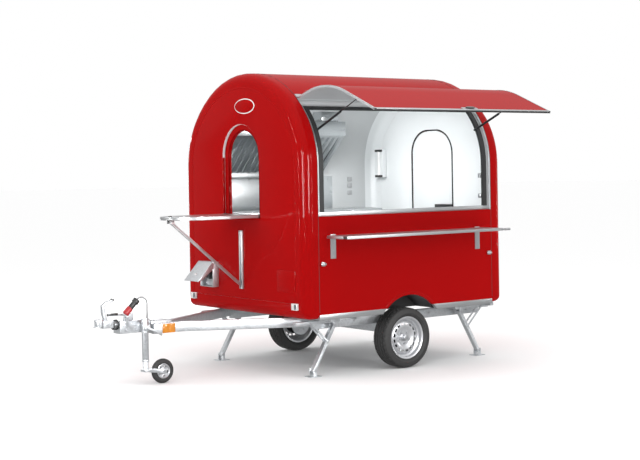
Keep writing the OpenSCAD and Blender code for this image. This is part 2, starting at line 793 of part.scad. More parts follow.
module plug_along(a, b, r) {
  v = plug_b - plug_a;
  translate([plug_a[0], lead_y, plug_a[1]]) rotate([0, 90 - atan2(v[1], v[0]), 0])
    translate([0, 0, a]) cylinder(h = b - a, r = r);
}

module lead_plug() color(black) {
  plug_along(0, 66, 29);
  plug_along(65, 132, 25);
  plug_along(131, 166, 32);
}

module plug_lead() color(grey) {
  v = plug_b - plug_a;
  a = atan2(v[1], v[0]);
  bend = 8 * lead_r;
  run = 168;
  end = plug_a + run * [cos(a), sin(a)];
  c = end + bend * [-sin(a), cos(a)];
  plug_along(166, run + 0.5, lead_r);
  translate([c[0] - bend, lead_y, drawbar_top + 10]) cylinder(h = c[1] - drawbar_top - 9.5, r = lead_r);
  translate([c[0], lead_y, c[1]]) rotate([90, 0, 0]) rotate([0, 0, a - 90])
    rotate_extrude(angle = 180 - a + 90, $fn = 64) translate([bend, 0]) circle(r = lead_r, $fn = 24);
}

module rear_lamps() color(red) {
  for (s = [-1, 1])
    box([-face_x - 30, s * 760 - 60, 640], [-face_x, s * 760 + 60, 740]);
}

module extraction_hood() color(bright) {
  along_x(-445, 950) {
    polygon([[-925, 1850], [-925, 1862], [-540, 2262], [-505, 2262], [-528, 2250]]);
    polygon([[-528, 2250], [-500, 2250], [-500, 2400], [-512, 2400], [-512, 2262], [-540, 2262]]);
    polygon([[-512, 2388], [-512, 2400], [-760, 2400], [-760, 2388]]);
  }
}

module cooking_bench() color(bright) {
  box([-900, -half_w + wall, 1440], [1060, -460, 1480]);
  for (x = [-900, 100, 1045])
    box([x, -half_w + wall, 740], [x + 15, -475, 1440]);
  box([-885, -490, 740], [1045, -475, 1440]);
}

module serving_counter() color(bright) {
  box([-opening_x, 640, 1436], [opening_x, half_w - wall, 1466]);
  for (x = [-opening_x, opening_x - 15])
    box([x, 655, 740], [x + 15, half_w - wall, 1436]);
  box([-opening_x + 15, 655, 740], [opening_x - 15, 670, 1436]);
}

module wall_unit() color(white)
  box([-face_x + wall, -860, 1800], [-face_x + wall + 60, -740, 2110]);

at_origin() chassis_beams();
at_origin() crossbars();
at_origin() drawbar();
at_origin() overrun_housing();
at_origin() coupling();
at_origin() coupling_handle();
at_origin() handbrake_lever();
at_origin() jockey_mast();
at_origin() axle();
at_origin() steady_mounts();
at_origin() floor();
at_origin() front_cap();
at_origin() front_wall();
at_origin() window_recess();
at_origin() rear_cap();
at_origin() rear_wall();
at_origin() roof_panel();
at_origin() side_panel_left();
at_origin() side_panel_right();
at_origin() side_rails();
at_origin() wheel_boxes();
at_origin() serving_frame();
at_origin() hinge_rail();
at_origin() door_hinges();
at_origin() flap_channel();
at_origin() shelf_fittings();
at_origin() inlet_box();
at_origin() marker_lamps();
at_origin() drawbar_reflectors();
at_origin() lead_plug();
at_origin() plug_lead();
at_origin() rear_lamps();
at_origin() extraction_hood();
at_origin() cooking_bench();
at_origin() serving_counter();
at_origin() wall_unit();
at_origin() tyre_left();
at_origin() wheel_left();
at_origin() tyre_right();
at_origin() wheel_right();
at_origin() jockey_fork();
at_origin() jockey_wheel();
at_origin() steady_leg_front_left();
at_origin() steady_leg_front_right();
at_origin() steady_leg_rear_left();
at_origin() steady_leg_rear_right();
at_origin() steady_brace_front_left();
at_origin() steady_brace_front_right();
at_origin() steady_brace_rear_left();
at_origin() steady_brace_rear_right();
at_origin() canopy();
at_origin() strut_tube_front();
at_origin() strut_rod_front();
at_origin() strut_tube_rear();
at_origin() strut_rod_rear();
at_origin() front_flap();
at_origin() flap_stay();
at_origin() rear_door();
at_origin() side_shelf();
at_origin() inlet_lid();
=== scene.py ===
import sys
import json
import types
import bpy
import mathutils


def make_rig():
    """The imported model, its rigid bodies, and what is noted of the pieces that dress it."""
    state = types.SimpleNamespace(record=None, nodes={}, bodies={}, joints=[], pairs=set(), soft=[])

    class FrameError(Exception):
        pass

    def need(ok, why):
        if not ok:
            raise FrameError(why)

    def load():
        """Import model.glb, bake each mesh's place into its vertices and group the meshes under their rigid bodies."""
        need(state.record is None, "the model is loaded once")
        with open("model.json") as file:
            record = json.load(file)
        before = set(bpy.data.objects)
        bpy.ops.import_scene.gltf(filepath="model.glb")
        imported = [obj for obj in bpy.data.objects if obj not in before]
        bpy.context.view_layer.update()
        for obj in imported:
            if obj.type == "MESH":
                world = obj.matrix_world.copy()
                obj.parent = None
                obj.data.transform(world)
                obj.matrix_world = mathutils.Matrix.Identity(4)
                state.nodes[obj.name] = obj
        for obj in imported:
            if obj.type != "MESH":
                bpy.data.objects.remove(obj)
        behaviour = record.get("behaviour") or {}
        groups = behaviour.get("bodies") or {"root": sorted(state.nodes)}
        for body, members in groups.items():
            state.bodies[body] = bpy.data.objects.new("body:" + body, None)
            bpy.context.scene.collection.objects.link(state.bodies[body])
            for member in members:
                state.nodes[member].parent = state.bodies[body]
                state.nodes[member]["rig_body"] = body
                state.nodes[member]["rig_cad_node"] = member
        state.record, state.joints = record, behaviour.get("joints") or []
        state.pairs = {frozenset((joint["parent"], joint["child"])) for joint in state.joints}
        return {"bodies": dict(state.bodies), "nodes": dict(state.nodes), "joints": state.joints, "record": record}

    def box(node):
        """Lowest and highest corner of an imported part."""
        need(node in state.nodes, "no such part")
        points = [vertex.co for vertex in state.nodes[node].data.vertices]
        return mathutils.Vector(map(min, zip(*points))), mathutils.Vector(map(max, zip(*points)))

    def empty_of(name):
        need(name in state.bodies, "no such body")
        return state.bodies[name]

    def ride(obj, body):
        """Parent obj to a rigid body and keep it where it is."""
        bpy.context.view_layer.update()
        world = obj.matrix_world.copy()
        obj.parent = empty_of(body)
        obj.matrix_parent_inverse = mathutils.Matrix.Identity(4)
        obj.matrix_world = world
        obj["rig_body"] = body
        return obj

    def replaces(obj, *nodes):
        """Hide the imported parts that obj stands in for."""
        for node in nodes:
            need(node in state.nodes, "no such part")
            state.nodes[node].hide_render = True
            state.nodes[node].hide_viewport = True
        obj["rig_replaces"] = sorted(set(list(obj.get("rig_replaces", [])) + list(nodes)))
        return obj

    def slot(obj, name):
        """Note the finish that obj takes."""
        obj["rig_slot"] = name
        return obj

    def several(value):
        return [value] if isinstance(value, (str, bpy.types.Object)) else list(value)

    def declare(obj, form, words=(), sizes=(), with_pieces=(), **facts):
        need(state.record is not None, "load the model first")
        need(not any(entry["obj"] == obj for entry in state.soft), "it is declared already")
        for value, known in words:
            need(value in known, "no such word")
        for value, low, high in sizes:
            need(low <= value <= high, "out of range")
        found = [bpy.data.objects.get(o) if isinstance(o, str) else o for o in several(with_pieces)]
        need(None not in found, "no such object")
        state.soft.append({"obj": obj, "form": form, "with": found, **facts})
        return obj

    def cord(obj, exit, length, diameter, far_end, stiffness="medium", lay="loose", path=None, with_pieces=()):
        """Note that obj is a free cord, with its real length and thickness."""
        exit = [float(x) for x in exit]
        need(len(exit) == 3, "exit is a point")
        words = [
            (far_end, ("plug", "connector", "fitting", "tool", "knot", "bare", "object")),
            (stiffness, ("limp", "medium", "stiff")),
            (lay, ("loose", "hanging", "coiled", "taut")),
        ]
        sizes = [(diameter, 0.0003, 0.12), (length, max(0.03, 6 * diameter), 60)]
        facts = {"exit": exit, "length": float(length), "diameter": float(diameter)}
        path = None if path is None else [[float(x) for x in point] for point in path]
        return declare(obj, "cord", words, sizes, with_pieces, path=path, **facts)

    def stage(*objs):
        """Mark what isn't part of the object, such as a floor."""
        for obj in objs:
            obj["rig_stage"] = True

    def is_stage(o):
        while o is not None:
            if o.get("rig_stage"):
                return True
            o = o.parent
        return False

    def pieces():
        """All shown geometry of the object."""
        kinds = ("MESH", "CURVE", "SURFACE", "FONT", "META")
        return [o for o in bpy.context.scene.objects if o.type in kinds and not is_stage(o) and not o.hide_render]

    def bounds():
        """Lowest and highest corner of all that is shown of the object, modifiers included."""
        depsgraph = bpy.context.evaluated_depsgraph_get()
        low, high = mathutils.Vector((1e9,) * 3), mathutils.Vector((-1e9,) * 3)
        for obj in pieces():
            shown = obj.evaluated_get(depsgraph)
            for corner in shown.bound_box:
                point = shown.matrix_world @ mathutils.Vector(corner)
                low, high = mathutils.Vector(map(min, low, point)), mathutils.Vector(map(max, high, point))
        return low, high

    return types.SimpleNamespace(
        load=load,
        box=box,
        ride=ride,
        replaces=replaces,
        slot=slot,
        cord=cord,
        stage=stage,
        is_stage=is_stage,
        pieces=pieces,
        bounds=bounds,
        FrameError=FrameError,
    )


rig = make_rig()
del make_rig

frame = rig.load()

import json
from math import atan2, cos, pi, radians, sin, sqrt

import bmesh
import bpy
from bpy.props import FloatProperty, FloatVectorProperty, PointerProperty
from mathutils import Matrix, Vector

bl_info = {
    "name": "Catering Trailer",
    "version": (1, 0, 0),
    "blender": (4, 5, 0),
    "location": "3D View > Sidebar > Trailer",
    "description": "Builds the looks of a moulded catering trailer round its fixed frame",
    "category": "Object",
}

CAD_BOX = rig.bounds()
NODES = frame["nodes"]


def mid(node, axis):
    lo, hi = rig.box(node)
    return (lo[axis] + hi[axis]) / 2


# Everything is placed from the road axle: X forward, Y to the serving side, Z up from the ground
AXLE = Vector((mid("wheel_left", 0), (mid("tyre_left", 1) + mid("tyre_right", 1)) / 2, 0.0))
AXLE_PLACE = Matrix.Translation(AXLE)


def part_box(node):
    lo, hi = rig.box(node)
    return Vector(lo) - AXLE, Vector(hi) - AXLE


ROOF_TOP = part_box("roof_panel")[1].z
SEAM = part_box("roof_panel")[1].x
FACE = part_box("front_cap")[1].x
HALF = part_box("front_cap")[1].y
BOTTOM = part_box("front_cap")[0].z
SILL = part_box("side_panel_left")[1].z
EAVES = part_box("side_panel_right")[1].z
TYRE_Y = mid("tyre_left", 1) - AXLE.y
WHEEL_Z = mid("wheel_left", 2)
TYRE_R = part_box("tyre_left")[1].z - WHEEL_Z

# The arched outline: a crown and two shoulders
RISE = ROOF_TOP - EAVES
SHOULDER_R = RISE - 0.110
SHOULDER_Y = HALF - SHOULDER_R
CROWN_R = (SHOULDER_Y ** 2 + RISE ** 2 - SHOULDER_R ** 2) / 0.220
CROWN_Z = ROOF_TOP - CROWN_R
LEAN = atan2(SHOULDER_Y, EAVES - CROWN_Z)
HINGE_ANGLE = radians(41.6)
CANOPY_OPEN = radians(67.0)
CANOPY_AXIS = Vector((0, (CROWN_R + 0.012) * sin(HINGE_ANGLE), CROWN_Z + (CROWN_R + 0.012) * cos(HINGE_ANGLE)))
X, Y, Z = Vector((1, 0, 0)), Vector((0, 1, 0)), Vector((0, 0, 1))
TO_FRONT = Matrix.Rotation(pi / 2, 4, "Y")


# ---------------------------------------------------------------- settings

class BodySettings(bpy.types.PropertyGroup):
    skin: FloatVectorProperty(name="Body colour", description="Colour of the moulded skin", subtype="COLOR",
                              size=3, min=0, max=1, default=(0.355, 0.0022, 0.0026))
    lining: FloatVectorProperty(name="Lining colour", description="Colour of the inside of the body", subtype="COLOR",
                                size=3, min=0, max=1, default=(0.80, 0.83, 0.84))
    gloss: FloatProperty(name="Gloss", description="Roughness of the moulded skin", default=0.16, min=0, max=1)
    seam: FloatProperty(name="Seam width", description="Width of the sealed seams", default=0.004, unit="LENGTH")


class CanopySettings(bpy.types.PropertyGroup):
    trim: FloatProperty(name="Trim height", description="Height of the edge trim", default=0.030, unit="LENGTH")
    lining: FloatVectorProperty(name="Lining", description="Colour of the canopy's underside", subtype="COLOR",
                                size=3, min=0, max=1, default=(0.42, 0.43, 0.44))


class WheelSettings(bpy.types.PropertyGroup):
    slot_depth: FloatProperty(name="Slot edge", description="Depth of the rolled edge of each slot",
                              default=0.003, unit="LENGTH")
    groove: FloatProperty(name="Groove depth", description="Depth of the tread grooves", default=0.007, unit="LENGTH")
    rim: FloatVectorProperty(name="Rim colour", description="Colour of the pressed rims", subtype="COLOR",
                             size=3, min=0, max=1, default=(0.60, 0.61, 0.63))


class MetalSettings(bpy.types.PropertyGroup):
    zinc: FloatVectorProperty(name="Zinc", description="Colour of the galvanised steel", subtype="COLOR",
                              size=3, min=0, max=1, default=(0.56, 0.58, 0.60))
    aluminium: FloatVectorProperty(name="Aluminium", description="Colour of the extrusions", subtype="COLOR",
                                   size=3, min=0, max=1, default=(0.52, 0.53, 0.54))
    stainless: FloatVectorProperty(name="Stainless", description="Colour of the kitchen sheet", subtype="COLOR",
                                   size=3, min=0, max=1, default=(0.60, 0.62, 0.63))


class StageSettings(bpy.types.PropertyGroup):
    distance: FloatProperty(name="Camera distance", description="Distance of the camera from the body's middle",
                            default=13.83, unit="LENGTH")
    floor: FloatVectorProperty(name="Floor", description="Colour of the studio floor", subtype="COLOR",
                               size=3, min=0, max=1, default=(0.97, 0.97, 0.97))


SETTINGS = (("body", BodySettings), ("canopy", CanopySettings), ("wheels", WheelSettings),
            ("metals", MetalSettings), ("stage", StageSettings))


def settings(name):
    return getattr(bpy.context.scene, "trailer_" + name)


# ---------------------------------------------------------------- shader maths

class Wire:
    """One socket, with arithmetic that adds Math nodes."""

    def __init__(self, graph, socket):
        self.graph, self.socket = graph, socket

    def _math(self, operation, *values):
        return self.graph.add("Math", {"operation": operation}, *values)

    def __add__(self, other): return self._math("ADD", self, other)
    def __radd__(self, other): return self._math("ADD", other, self)
    def __sub__(self, other): return self._math("SUBTRACT", self, other)
    def __rsub__(self, other): return self._math("SUBTRACT", other, self)
    def __mul__(self, other): return self._math("MULTIPLY", self, other)
    def __rmul__(self, other): return self._math("MULTIPLY", other, self)
    def __truediv__(self, other): return self._math("DIVIDE", self, other)
    def __gt__(self, other): return self._math("GREATER_THAN", self, other)
    def __lt__(self, other): return self._math("LESS_THAN", self, other)
    def __pow__(self, other): return self._math("POWER", self, other)
    def __abs__(self): return self._math("ABSOLUTE", self)


class Graph:
    """The node tree of one material."""

    def __init__(self, name):
        self.material = bpy.data.materials.new(name)
        self.material.use_nodes = True
        self.tree = self.material.node_tree
        self.shader = next(n for n in self.tree.nodes if n.type == "BSDF_PRINCIPLED")

    def add(self, kind, options=None, *values, out=0, places=None, **named):
        """Adds a node: its settings first, then its sockets in order, by place or by name."""
        node = self.tree.nodes.new("ShaderNode" + kind)
        for key, value in (options or {}).items():
            if key == "stops":
                ramp = node.color_ramp
                while len(ramp.elements) < len(value):
                    ramp.elements.new(1.0)
                for element, (place, colour) in zip(ramp.elements, value):
                    element.position = place
                    element.color = (*colour, 1) if len(colour) == 3 else colour
            else:
                setattr(node, key, value)
        by_place = list(enumerate(values)) + list((places or {}).items())
        for socket, value in by_place + [(key.replace("_", " "), value) for key, value in named.items()]:
            self.plug(node.inputs[socket], value)
        return Wire(self, node.outputs[out])

    def plug(self, socket, value):
        if isinstance(value, Wire):
            self.tree.links.new(value.socket, socket)
        elif socket.type == "RGBA" and len(value) == 3:
            socket.default_value = (*value, 1)
        else:
            socket.default_value = value

    def place(self):
        return self.add("TexCoord", out=3)

    def stretch(self, coords, scale):
        return self.add("Mapping", None, coords, Scale=scale)

    def noise(self, coords, scale, detail=3.0, rough=0.5):
        return self.add("TexNoise", None, coords, Scale=scale, Detail=detail, Roughness=rough)

    def mix(self, factor, first, second):
        return self.add("Mix", {"data_type": "RGBA"}, factor, out=2, places={6: first, 7: second})

    def parts(self, coords):
        split = self.add("SeparateXYZ", None, coords).socket.node
        return [Wire(self, part) for part in split.outputs]

    def sine(self, value):
        return self.add("Math", {"operation": "SINE"}, value)

    def bump(self, height, strength, distance):
        return self.add("Bump", None, Strength=strength, Distance=distance, Height=height)

    def surface(self, **sockets):
        for name, value in sockets.items():
            self.plug(self.shader.inputs[name.replace("_", " ")], value)
        return self.material


MADE = {}


def finish_of(name):
    """The material of that name, made the first time it is asked for."""
    if name not in MADE:
        MADE[name] = globals()["make_" + name]()
    return MADE[name]


def make_gloss_red():
    s = settings("body")
    g = Graph("gloss_red")
    at = g.place()
    cloud = g.noise(at, 1.6, 2.0)
    peel = g.noise(at, 130.0, 2.0)
    skin = tuple(s.skin)
    deep = tuple(c * 0.90 for c in skin)
    dust = g.noise(at, 9.0, 4.0, 0.6)
    return g.surface(Base_Color=g.mix(cloud, deep, skin), Roughness=s.gloss + 0.05 * (dust - 0.5),
                     Normal=g.bump(peel, 0.02, 0.001), Coat_Weight=0.36, Coat_Roughness=0.03, Coat_IOR=1.3,
                     Specular_IOR_Level=0.0)


def make_white_lining():
    g = Graph("white_lining")
    at = g.place()
    base = tuple(settings("body").lining)
    return g.surface(Base_Color=g.mix(g.noise(at, 3.0), tuple(c * 0.94 for c in base), base),
                     Roughness=0.28 + 0.08 * g.noise(at, 22.0), Normal=g.bump(g.noise(at, 220.0), 0.05, 0.001))


# The body lining darkened to 0.68: painted shade for the inside of the roof and side panels
def make_pale_lining():
    g = Graph("pale_lining")
    at = g.place()
    base = tuple(c * 0.68 for c in settings("body").lining)
    return g.surface(Base_Color=g.mix(g.noise(at, 2.4), tuple(c * 0.9 for c in base), base),
                     Roughness=0.30 + 0.08 * g.noise(at, 22.0), Normal=g.bump(g.noise(at, 220.0), 0.05, 0.001))


def make_grey_lining():
    g = Graph("grey_lining")
    at = g.place()
    base = tuple(settings("canopy").lining)
    return g.surface(Base_Color=g.mix(g.noise(at, 4.0), tuple(c * 0.9 for c in base), base),
                     Roughness=0.42 + 0.1 * g.noise(at, 30.0), Normal=g.bump(g.noise(at, 300.0), 0.08, 0.001))


def brushed(name, base, along, metallic=1.0, rough=0.26, spread=0.16, depth=0.05):
    g = Graph(name)
    at = g.place()
    fine = tuple(14.0 if k == along else 900.0 for k in range(3))
    streaks = g.noise(g.stretch(at, fine), 1.0, 2.0, 0.6)
    smear = g.noise(at, 5.0, 3.0)
    dark = tuple(c * 0.86 for c in base)
    return g.surface(Base_Color=g.mix(streaks, dark, base), Metallic=metallic,
                     Roughness=rough + spread * streaks * smear, Normal=g.bump(streaks, depth, 0.0006))


def make_aluminium():
    return brushed("aluminium", tuple(settings("metals").aluminium), 0, 0.9, 0.30, 0.18, 0.04)


def make_aluminium_upright():
    return brushed("aluminium_upright", tuple(settings("metals").aluminium), 2, 0.9, 0.30, 0.18, 0.04)


def make_stainless():
    return brushed("stainless", tuple(settings("metals").stainless), 0, 1.0, 0.24, 0.2, 0.05)


def make_frame_grey():
    return brushed("frame_grey", (0.52, 0.53, 0.54), 2, 0.6, 0.34, 0.12, 0.03)


def make_galvanised():
    base = tuple(settings("metals").zinc)
    g = Graph("galvanised")
    at = g.place()
    spangle = g.parts(g.add("TexVoronoi", None, at, out="Color", Scale=60.0))[0]
    stain = g.noise(at, 7.0, 5.0, 0.6)
    light = tuple(min(1, c * 1.12) for c in base)
    colour = g.mix(stain, g.mix(spangle, tuple(c * 0.82 for c in base), light), base)
    return g.surface(Base_Color=colour, Metallic=0.75, Roughness=0.34 + 0.2 * spangle * stain,
                     Normal=g.bump(g.noise(at, 90.0, 3.0), 0.12, 0.001))


def plain(name, base, rough, grain=160.0, depth=0.08, metallic=0.0, spread=0.12, coat=0.0):
    g = Graph(name)
    at = g.place()
    wear = g.noise(at, 11.0, 4.0, 0.6)
    return g.surface(Base_Color=g.mix(wear, tuple(c * 0.8 for c in base), tuple(min(1, c * 1.1) for c in base)),
                     Roughness=rough + spread * (wear - 0.5), Metallic=metallic, Coat_Weight=coat,
                     Coat_Roughness=0.05, Normal=g.bump(g.noise(at, grain), depth, 0.001))


def make_black_rubber(): return plain("black_rubber", (0.012, 0.012, 0.013), 0.55)
def make_black_plastic(): return plain("black_plastic", (0.02, 0.02, 0.022), 0.42, 260.0)
def make_black_steel(): return plain("black_steel", (0.015, 0.015, 0.017), 0.3, 90.0, 0.03, 0.3)
def make_polished_rod(): return plain("polished_rod", (0.10, 0.10, 0.11), 0.18, 90.0, 0.02, 0.9, 0.04)
def make_floor_board(): return plain("floor_board", (0.16, 0.17, 0.18), 0.6, 70.0, 0.25)
def make_lead_grey(): return plain("lead_grey", (0.40, 0.41, 0.42), 0.5, 200.0, 0.06)
def make_plug_red(): return plain("plug_red", (0.50, 0.02, 0.025), 0.35, 180.0, 0.05)
def make_knob_black(): return plain("knob_black", (0.02, 0.02, 0.02), 0.32, 120.0, 0.04, 0.0, 0.1, 0.3)
def make_bolt_zinc(): return plain("bolt_zinc", (0.55, 0.56, 0.58), 0.3, 120.0, 0.05, 0.9)
def make_badge_white(): return plain("badge_white", (0.85, 0.85, 0.85), 0.25, 120.0, 0.02, 0.0, 0.05, 0.5)
def make_socket_dark(): return plain("socket_dark", (0.045, 0.047, 0.05), 0.35)
def make_socket_grey(): return plain("socket_grey", (0.20, 0.21, 0.22), 0.2, 160.0, 0.03, 0.6, 0.05, 0.8)


def make_rim_silver():
    base = tuple(settings("wheels").rim)
    g = Graph("rim_silver")
    at = g.place()
    fleck = g.noise(at, 700.0, 2.0)
    dust = g.noise(at, 14.0, 5.0, 0.65)
    return g.surface(Base_Color=g.mix(dust, tuple(c * 0.8 for c in base), base), Metallic=0.55,
                     Roughness=0.28 + 0.14 * dust, Normal=g.bump(fleck, 0.05, 0.0006), Coat_Weight=0.4,
                     Coat_Roughness=0.1)


def make_tyre_rubber():
    g = Graph("tyre_rubber")
    at = g.place()
    dust = g.noise(at, 18.0, 5.0, 0.65)
    grain = g.noise(at, 420.0, 2.0)
    return g.surface(Base_Color=g.mix(dust, (0.012, 0.012, 0.013), (0.032, 0.031, 0.030)),
                     Roughness=0.62 + 0.2 * dust, Normal=g.bump(grain, 0.2, 0.001))


def lens(name, base, ribs):
    g = Graph(name)
    at = g.place()
    x, y, z = g.parts(at)
    rib = abs(g.sine((y + x) * ribs)) * abs(g.sine(z * ribs))
    return g.surface(Base_Color=g.mix(rib, tuple(c * 0.75 for c in base), base), Roughness=0.12 + 0.1 * rib,
                     Normal=g.bump(rib, 0.3, 0.002), Coat_Weight=1.0, Coat_Roughness=0.03)


def make_lens_clear(): return lens("lens_clear", (0.80, 0.80, 0.79), 420.0)
def make_lens_amber(): return lens("lens_amber", (0.85, 0.30, 0.01), 380.0)
def make_lens_red(): return lens("lens_red", (0.55, 0.012, 0.012), 380.0)


def make_hood_steel():
    return brushed("hood_steel", (0.50, 0.52, 0.53), 2, 1.0, 0.2, 0.16, 0.04)


# ---------------------------------------------------------------- mesh tools

def put(name, bm, body, slot, finishes, replaces=(), sharp=32.0, pick=None):
    """Closes a bmesh into a piece that rides on a body. pick gives the index of each face's finish."""
    limit = radians(sharp)
    for f in bm.faces:
        f.smooth = True
        if pick:
            f.material_index = pick(f)
    for e in bm.edges:
        e.smooth = len(e.link_faces) == 2 and e.calc_face_angle(0) < limit
    mesh = bpy.data.meshes.new(name)
    bm.to_mesh(mesh)
    bm.free()
    for finish in ([finishes] if isinstance(finishes, str) else finishes):
        mesh.materials.append(finish_of(finish))
    piece = bpy.data.objects.new(name, mesh)
    bpy.context.scene.collection.objects.link(piece)
    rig.ride(piece, body)
    if slot:
        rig.slot(piece, slot)
    if replaces:
        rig.replaces(piece, *replaces)
    return piece


def tidy(bm, merge=0.00002):
    bmesh.ops.remove_doubles(bm, verts=bm.verts[:], dist=merge)
    bmesh.ops.recalc_face_normals(bm, faces=bm.faces[:])


def soften(bm, width, angle=28.0, segments=2):
    """Rounds the sharp edges."""
    limit = radians(angle)
    edges = [e for e in bm.edges if len(e.link_faces) == 2 and e.calc_face_angle(0) > limit]
    if edges:
        bmesh.ops.bevel(bm, geom=edges, offset=width, offset_type="OFFSET", segments=segments, profile=0.5,
                        affect="EDGES", clamp_overlap=True, material=-1)


def node_mesh(node):
    """A merged copy of a CAD node's mesh."""
    bm = bmesh.new()
    bm.from_mesh(NODES[node].data)
    bmesh.ops.remove_doubles(bm, verts=bm.verts[:], dist=0.00002)
    bmesh.ops.dissolve_limit(bm, angle_limit=radians(0.4), verts=bm.verts[:], edges=bm.edges[:])
    return bm


def dress(node, slot, finishes, round_by=0.0015, sharp=32.0, pick=None, segments=2):
    """A CAD node with rounded edges and its finish."""
    bm = node_mesh(node)
    if round_by:
        soften(bm, round_by, 28.0, segments)
    body = next(b for b, members in frame["record"]["behaviour"]["bodies"].items() if node in members)
    return put(node + "_finish", bm, body, slot, finishes, (node,), sharp, pick)


def block(bm, lo, hi, round_by=0.0, segments=2):
    """A box between two corners, given from the axle."""
    lo, hi = Vector(lo), Vector(hi)
    made = bmesh.ops.create_cube(bm, size=1.0, matrix=AXLE_PLACE @ Matrix.Translation((lo + hi) / 2)
                                 @ Matrix.Diagonal((*(hi - lo), 1)))
    if round_by:
        edges = list({e for v in made["verts"] for e in v.link_edges})
        bmesh.ops.bevel(bm, geom=edges, offset=round_by, offset_type="OFFSET", segments=segments, profile=0.5,
                        affect="EDGES", clamp_overlap=True, material=-1)


def boxed(name, lo, hi, round_by, segments, *riding):
    """A piece that is one box."""
    bm = bmesh.new()
    block(bm, lo, hi, round_by, segments)
    return put(name, bm, *riding)


def turned_to(direction):
    return Vector(direction).to_track_quat("Z", "Y").to_matrix().to_4x4()


def rod(bm, start, end, radius, sides=20, taper=None, round_by=0.0):
    """A round bar between two points, given from the axle."""
    start, end = Vector(start), Vector(end)
    made = bmesh.ops.create_cone(bm, cap_ends=True, segments=sides, radius1=radius,
                                 radius2=radius if taper is None else taper, depth=(end - start).length,
                                 matrix=AXLE_PLACE @ Matrix.Translation((start + end) / 2) @ turned_to(end - start))
    if round_by:
        rims = [e for v in made["verts"] for e in v.link_edges
                if len(e.link_faces) == 2 and e.calc_face_angle(0) > 1.0]
        bmesh.ops.bevel(bm, geom=list(set(rims)), offset=round_by, offset_type="OFFSET", segments=2, profile=0.5,
                        affect="EDGES", clamp_overlap=True, material=-1)


def hex_bolt(bm, at, direction, size=0.009, height=0.006):
    """A bolt head on its washer."""
    at, direction = Vector(at), Vector(direction).normalized()
    rod(bm, at, at + direction * 0.0015, size * 1.45, 20)
    rod(bm, at + direction * 0.0015, at + direction * (0.0015 + height), size, 6, size * 0.94)


def turning(bm, profile, steps):
    """A full turn of a profile of (radius, height) points about the Z axis."""
    verts = [bm.verts.new((r, 0, h)) for r, h in profile]
    edges = [bm.edges.new((a, b)) for a, b in zip(verts, verts[1:])]
    bmesh.ops.spin(bm, geom=verts + edges, cent=(0, 0, 0), axis=Z, dvec=(0, 0, 0), angle=2 * pi, steps=steps,
                   use_merge=True, use_duplicate=False)


def turned_piece(name, profile, place, steps, *riding, **more):
    """A piece made by one full turn of a profile about the Z axis of place."""
    bm = bmesh.new()
    turning(bm, profile, steps)
    bmesh.ops.transform(bm, matrix=place, verts=bm.verts[:])
    tidy(bm)
    return put(name, bm, *riding, **more)


def sector_of(point, steps):
    """Which of the steps round the Z axis a point is in."""
    return int((atan2(point.y, point.x) % (2 * pi)) / (2 * pi / steps))


def punch(bm, holes, edge, depth):
    """Opens holes in a pressed sheet, each with a rolled edge."""
    bmesh.ops.inset_region(bm, faces=holes, thickness=edge, depth=depth, use_even_offset=True)
    bmesh.ops.delete(bm, geom=[f for f in holes if f.is_valid], context="FACES")


class Bar:
    """A profile carried along lines and arcs. Points are given from the axle."""

    def __init__(self, bm, points):
        self.bm = bm
        verts = [bm.verts.new(Vector(p) + AXLE) for p in points]
        self.edges = [bm.edges.new((a, b)) for a, b in zip(verts, verts[1:] + verts[:1])]
        bm.faces.new(verts)

    def go(self, step):
        made = bmesh.ops.extrude_edge_only(self.bm, edges=self.edges)["geom"]
        bmesh.ops.translate(self.bm, verts=[g for g in made if isinstance(g, bmesh.types.BMVert)], vec=Vector(step))
        self.edges = self._last([g for g in made if isinstance(g, bmesh.types.BMEdge)])
        return self

    def turn(self, centre, axis, angle, steps):
        if abs(angle) < 1e-6:
            return self
        made = bmesh.ops.spin(self.bm, geom=self.edges, cent=Vector(centre) + AXLE, axis=Vector(axis),
                              dvec=(0, 0, 0), angle=angle, steps=steps, use_merge=False, use_duplicate=False)
        self.edges = [g for g in made["geom_last"] if isinstance(g, bmesh.types.BMEdge)]
        return self

    @staticmethod
    def _last(edges):
        return [e for e in edges if len(e.link_faces) == 1]

    def end(self):
        bmesh.ops.edgeloop_fill(self.bm, edges=self.edges)


def round_profile(at, direction, radius, sides=12):
    """Points of a circle about at, square to direction."""
    frame_turn = Matrix.Translation(Vector(at)) @ turned_to(direction)
    return [frame_turn @ Vector((radius * cos(2 * pi * k / sides), radius * sin(2 * pi * k / sides), 0))
            for k in range(sides)]


def skin_point(angle, t):
    """Point on the body's outline, t inside the skin, at an angle from the top of the roof."""
    side = 1 if angle >= 0 else -1
    a = abs(angle)
    if a <= LEAN:
        return Vector((0, side * (CROWN_R - t) * sin(a), CROWN_Z + (CROWN_R - t) * cos(a)))
    return Vector((0, side * (SHOULDER_Y + (SHOULDER_R - t) * sin(a)), EAVES + (SHOULDER_R - t) * cos(a)))


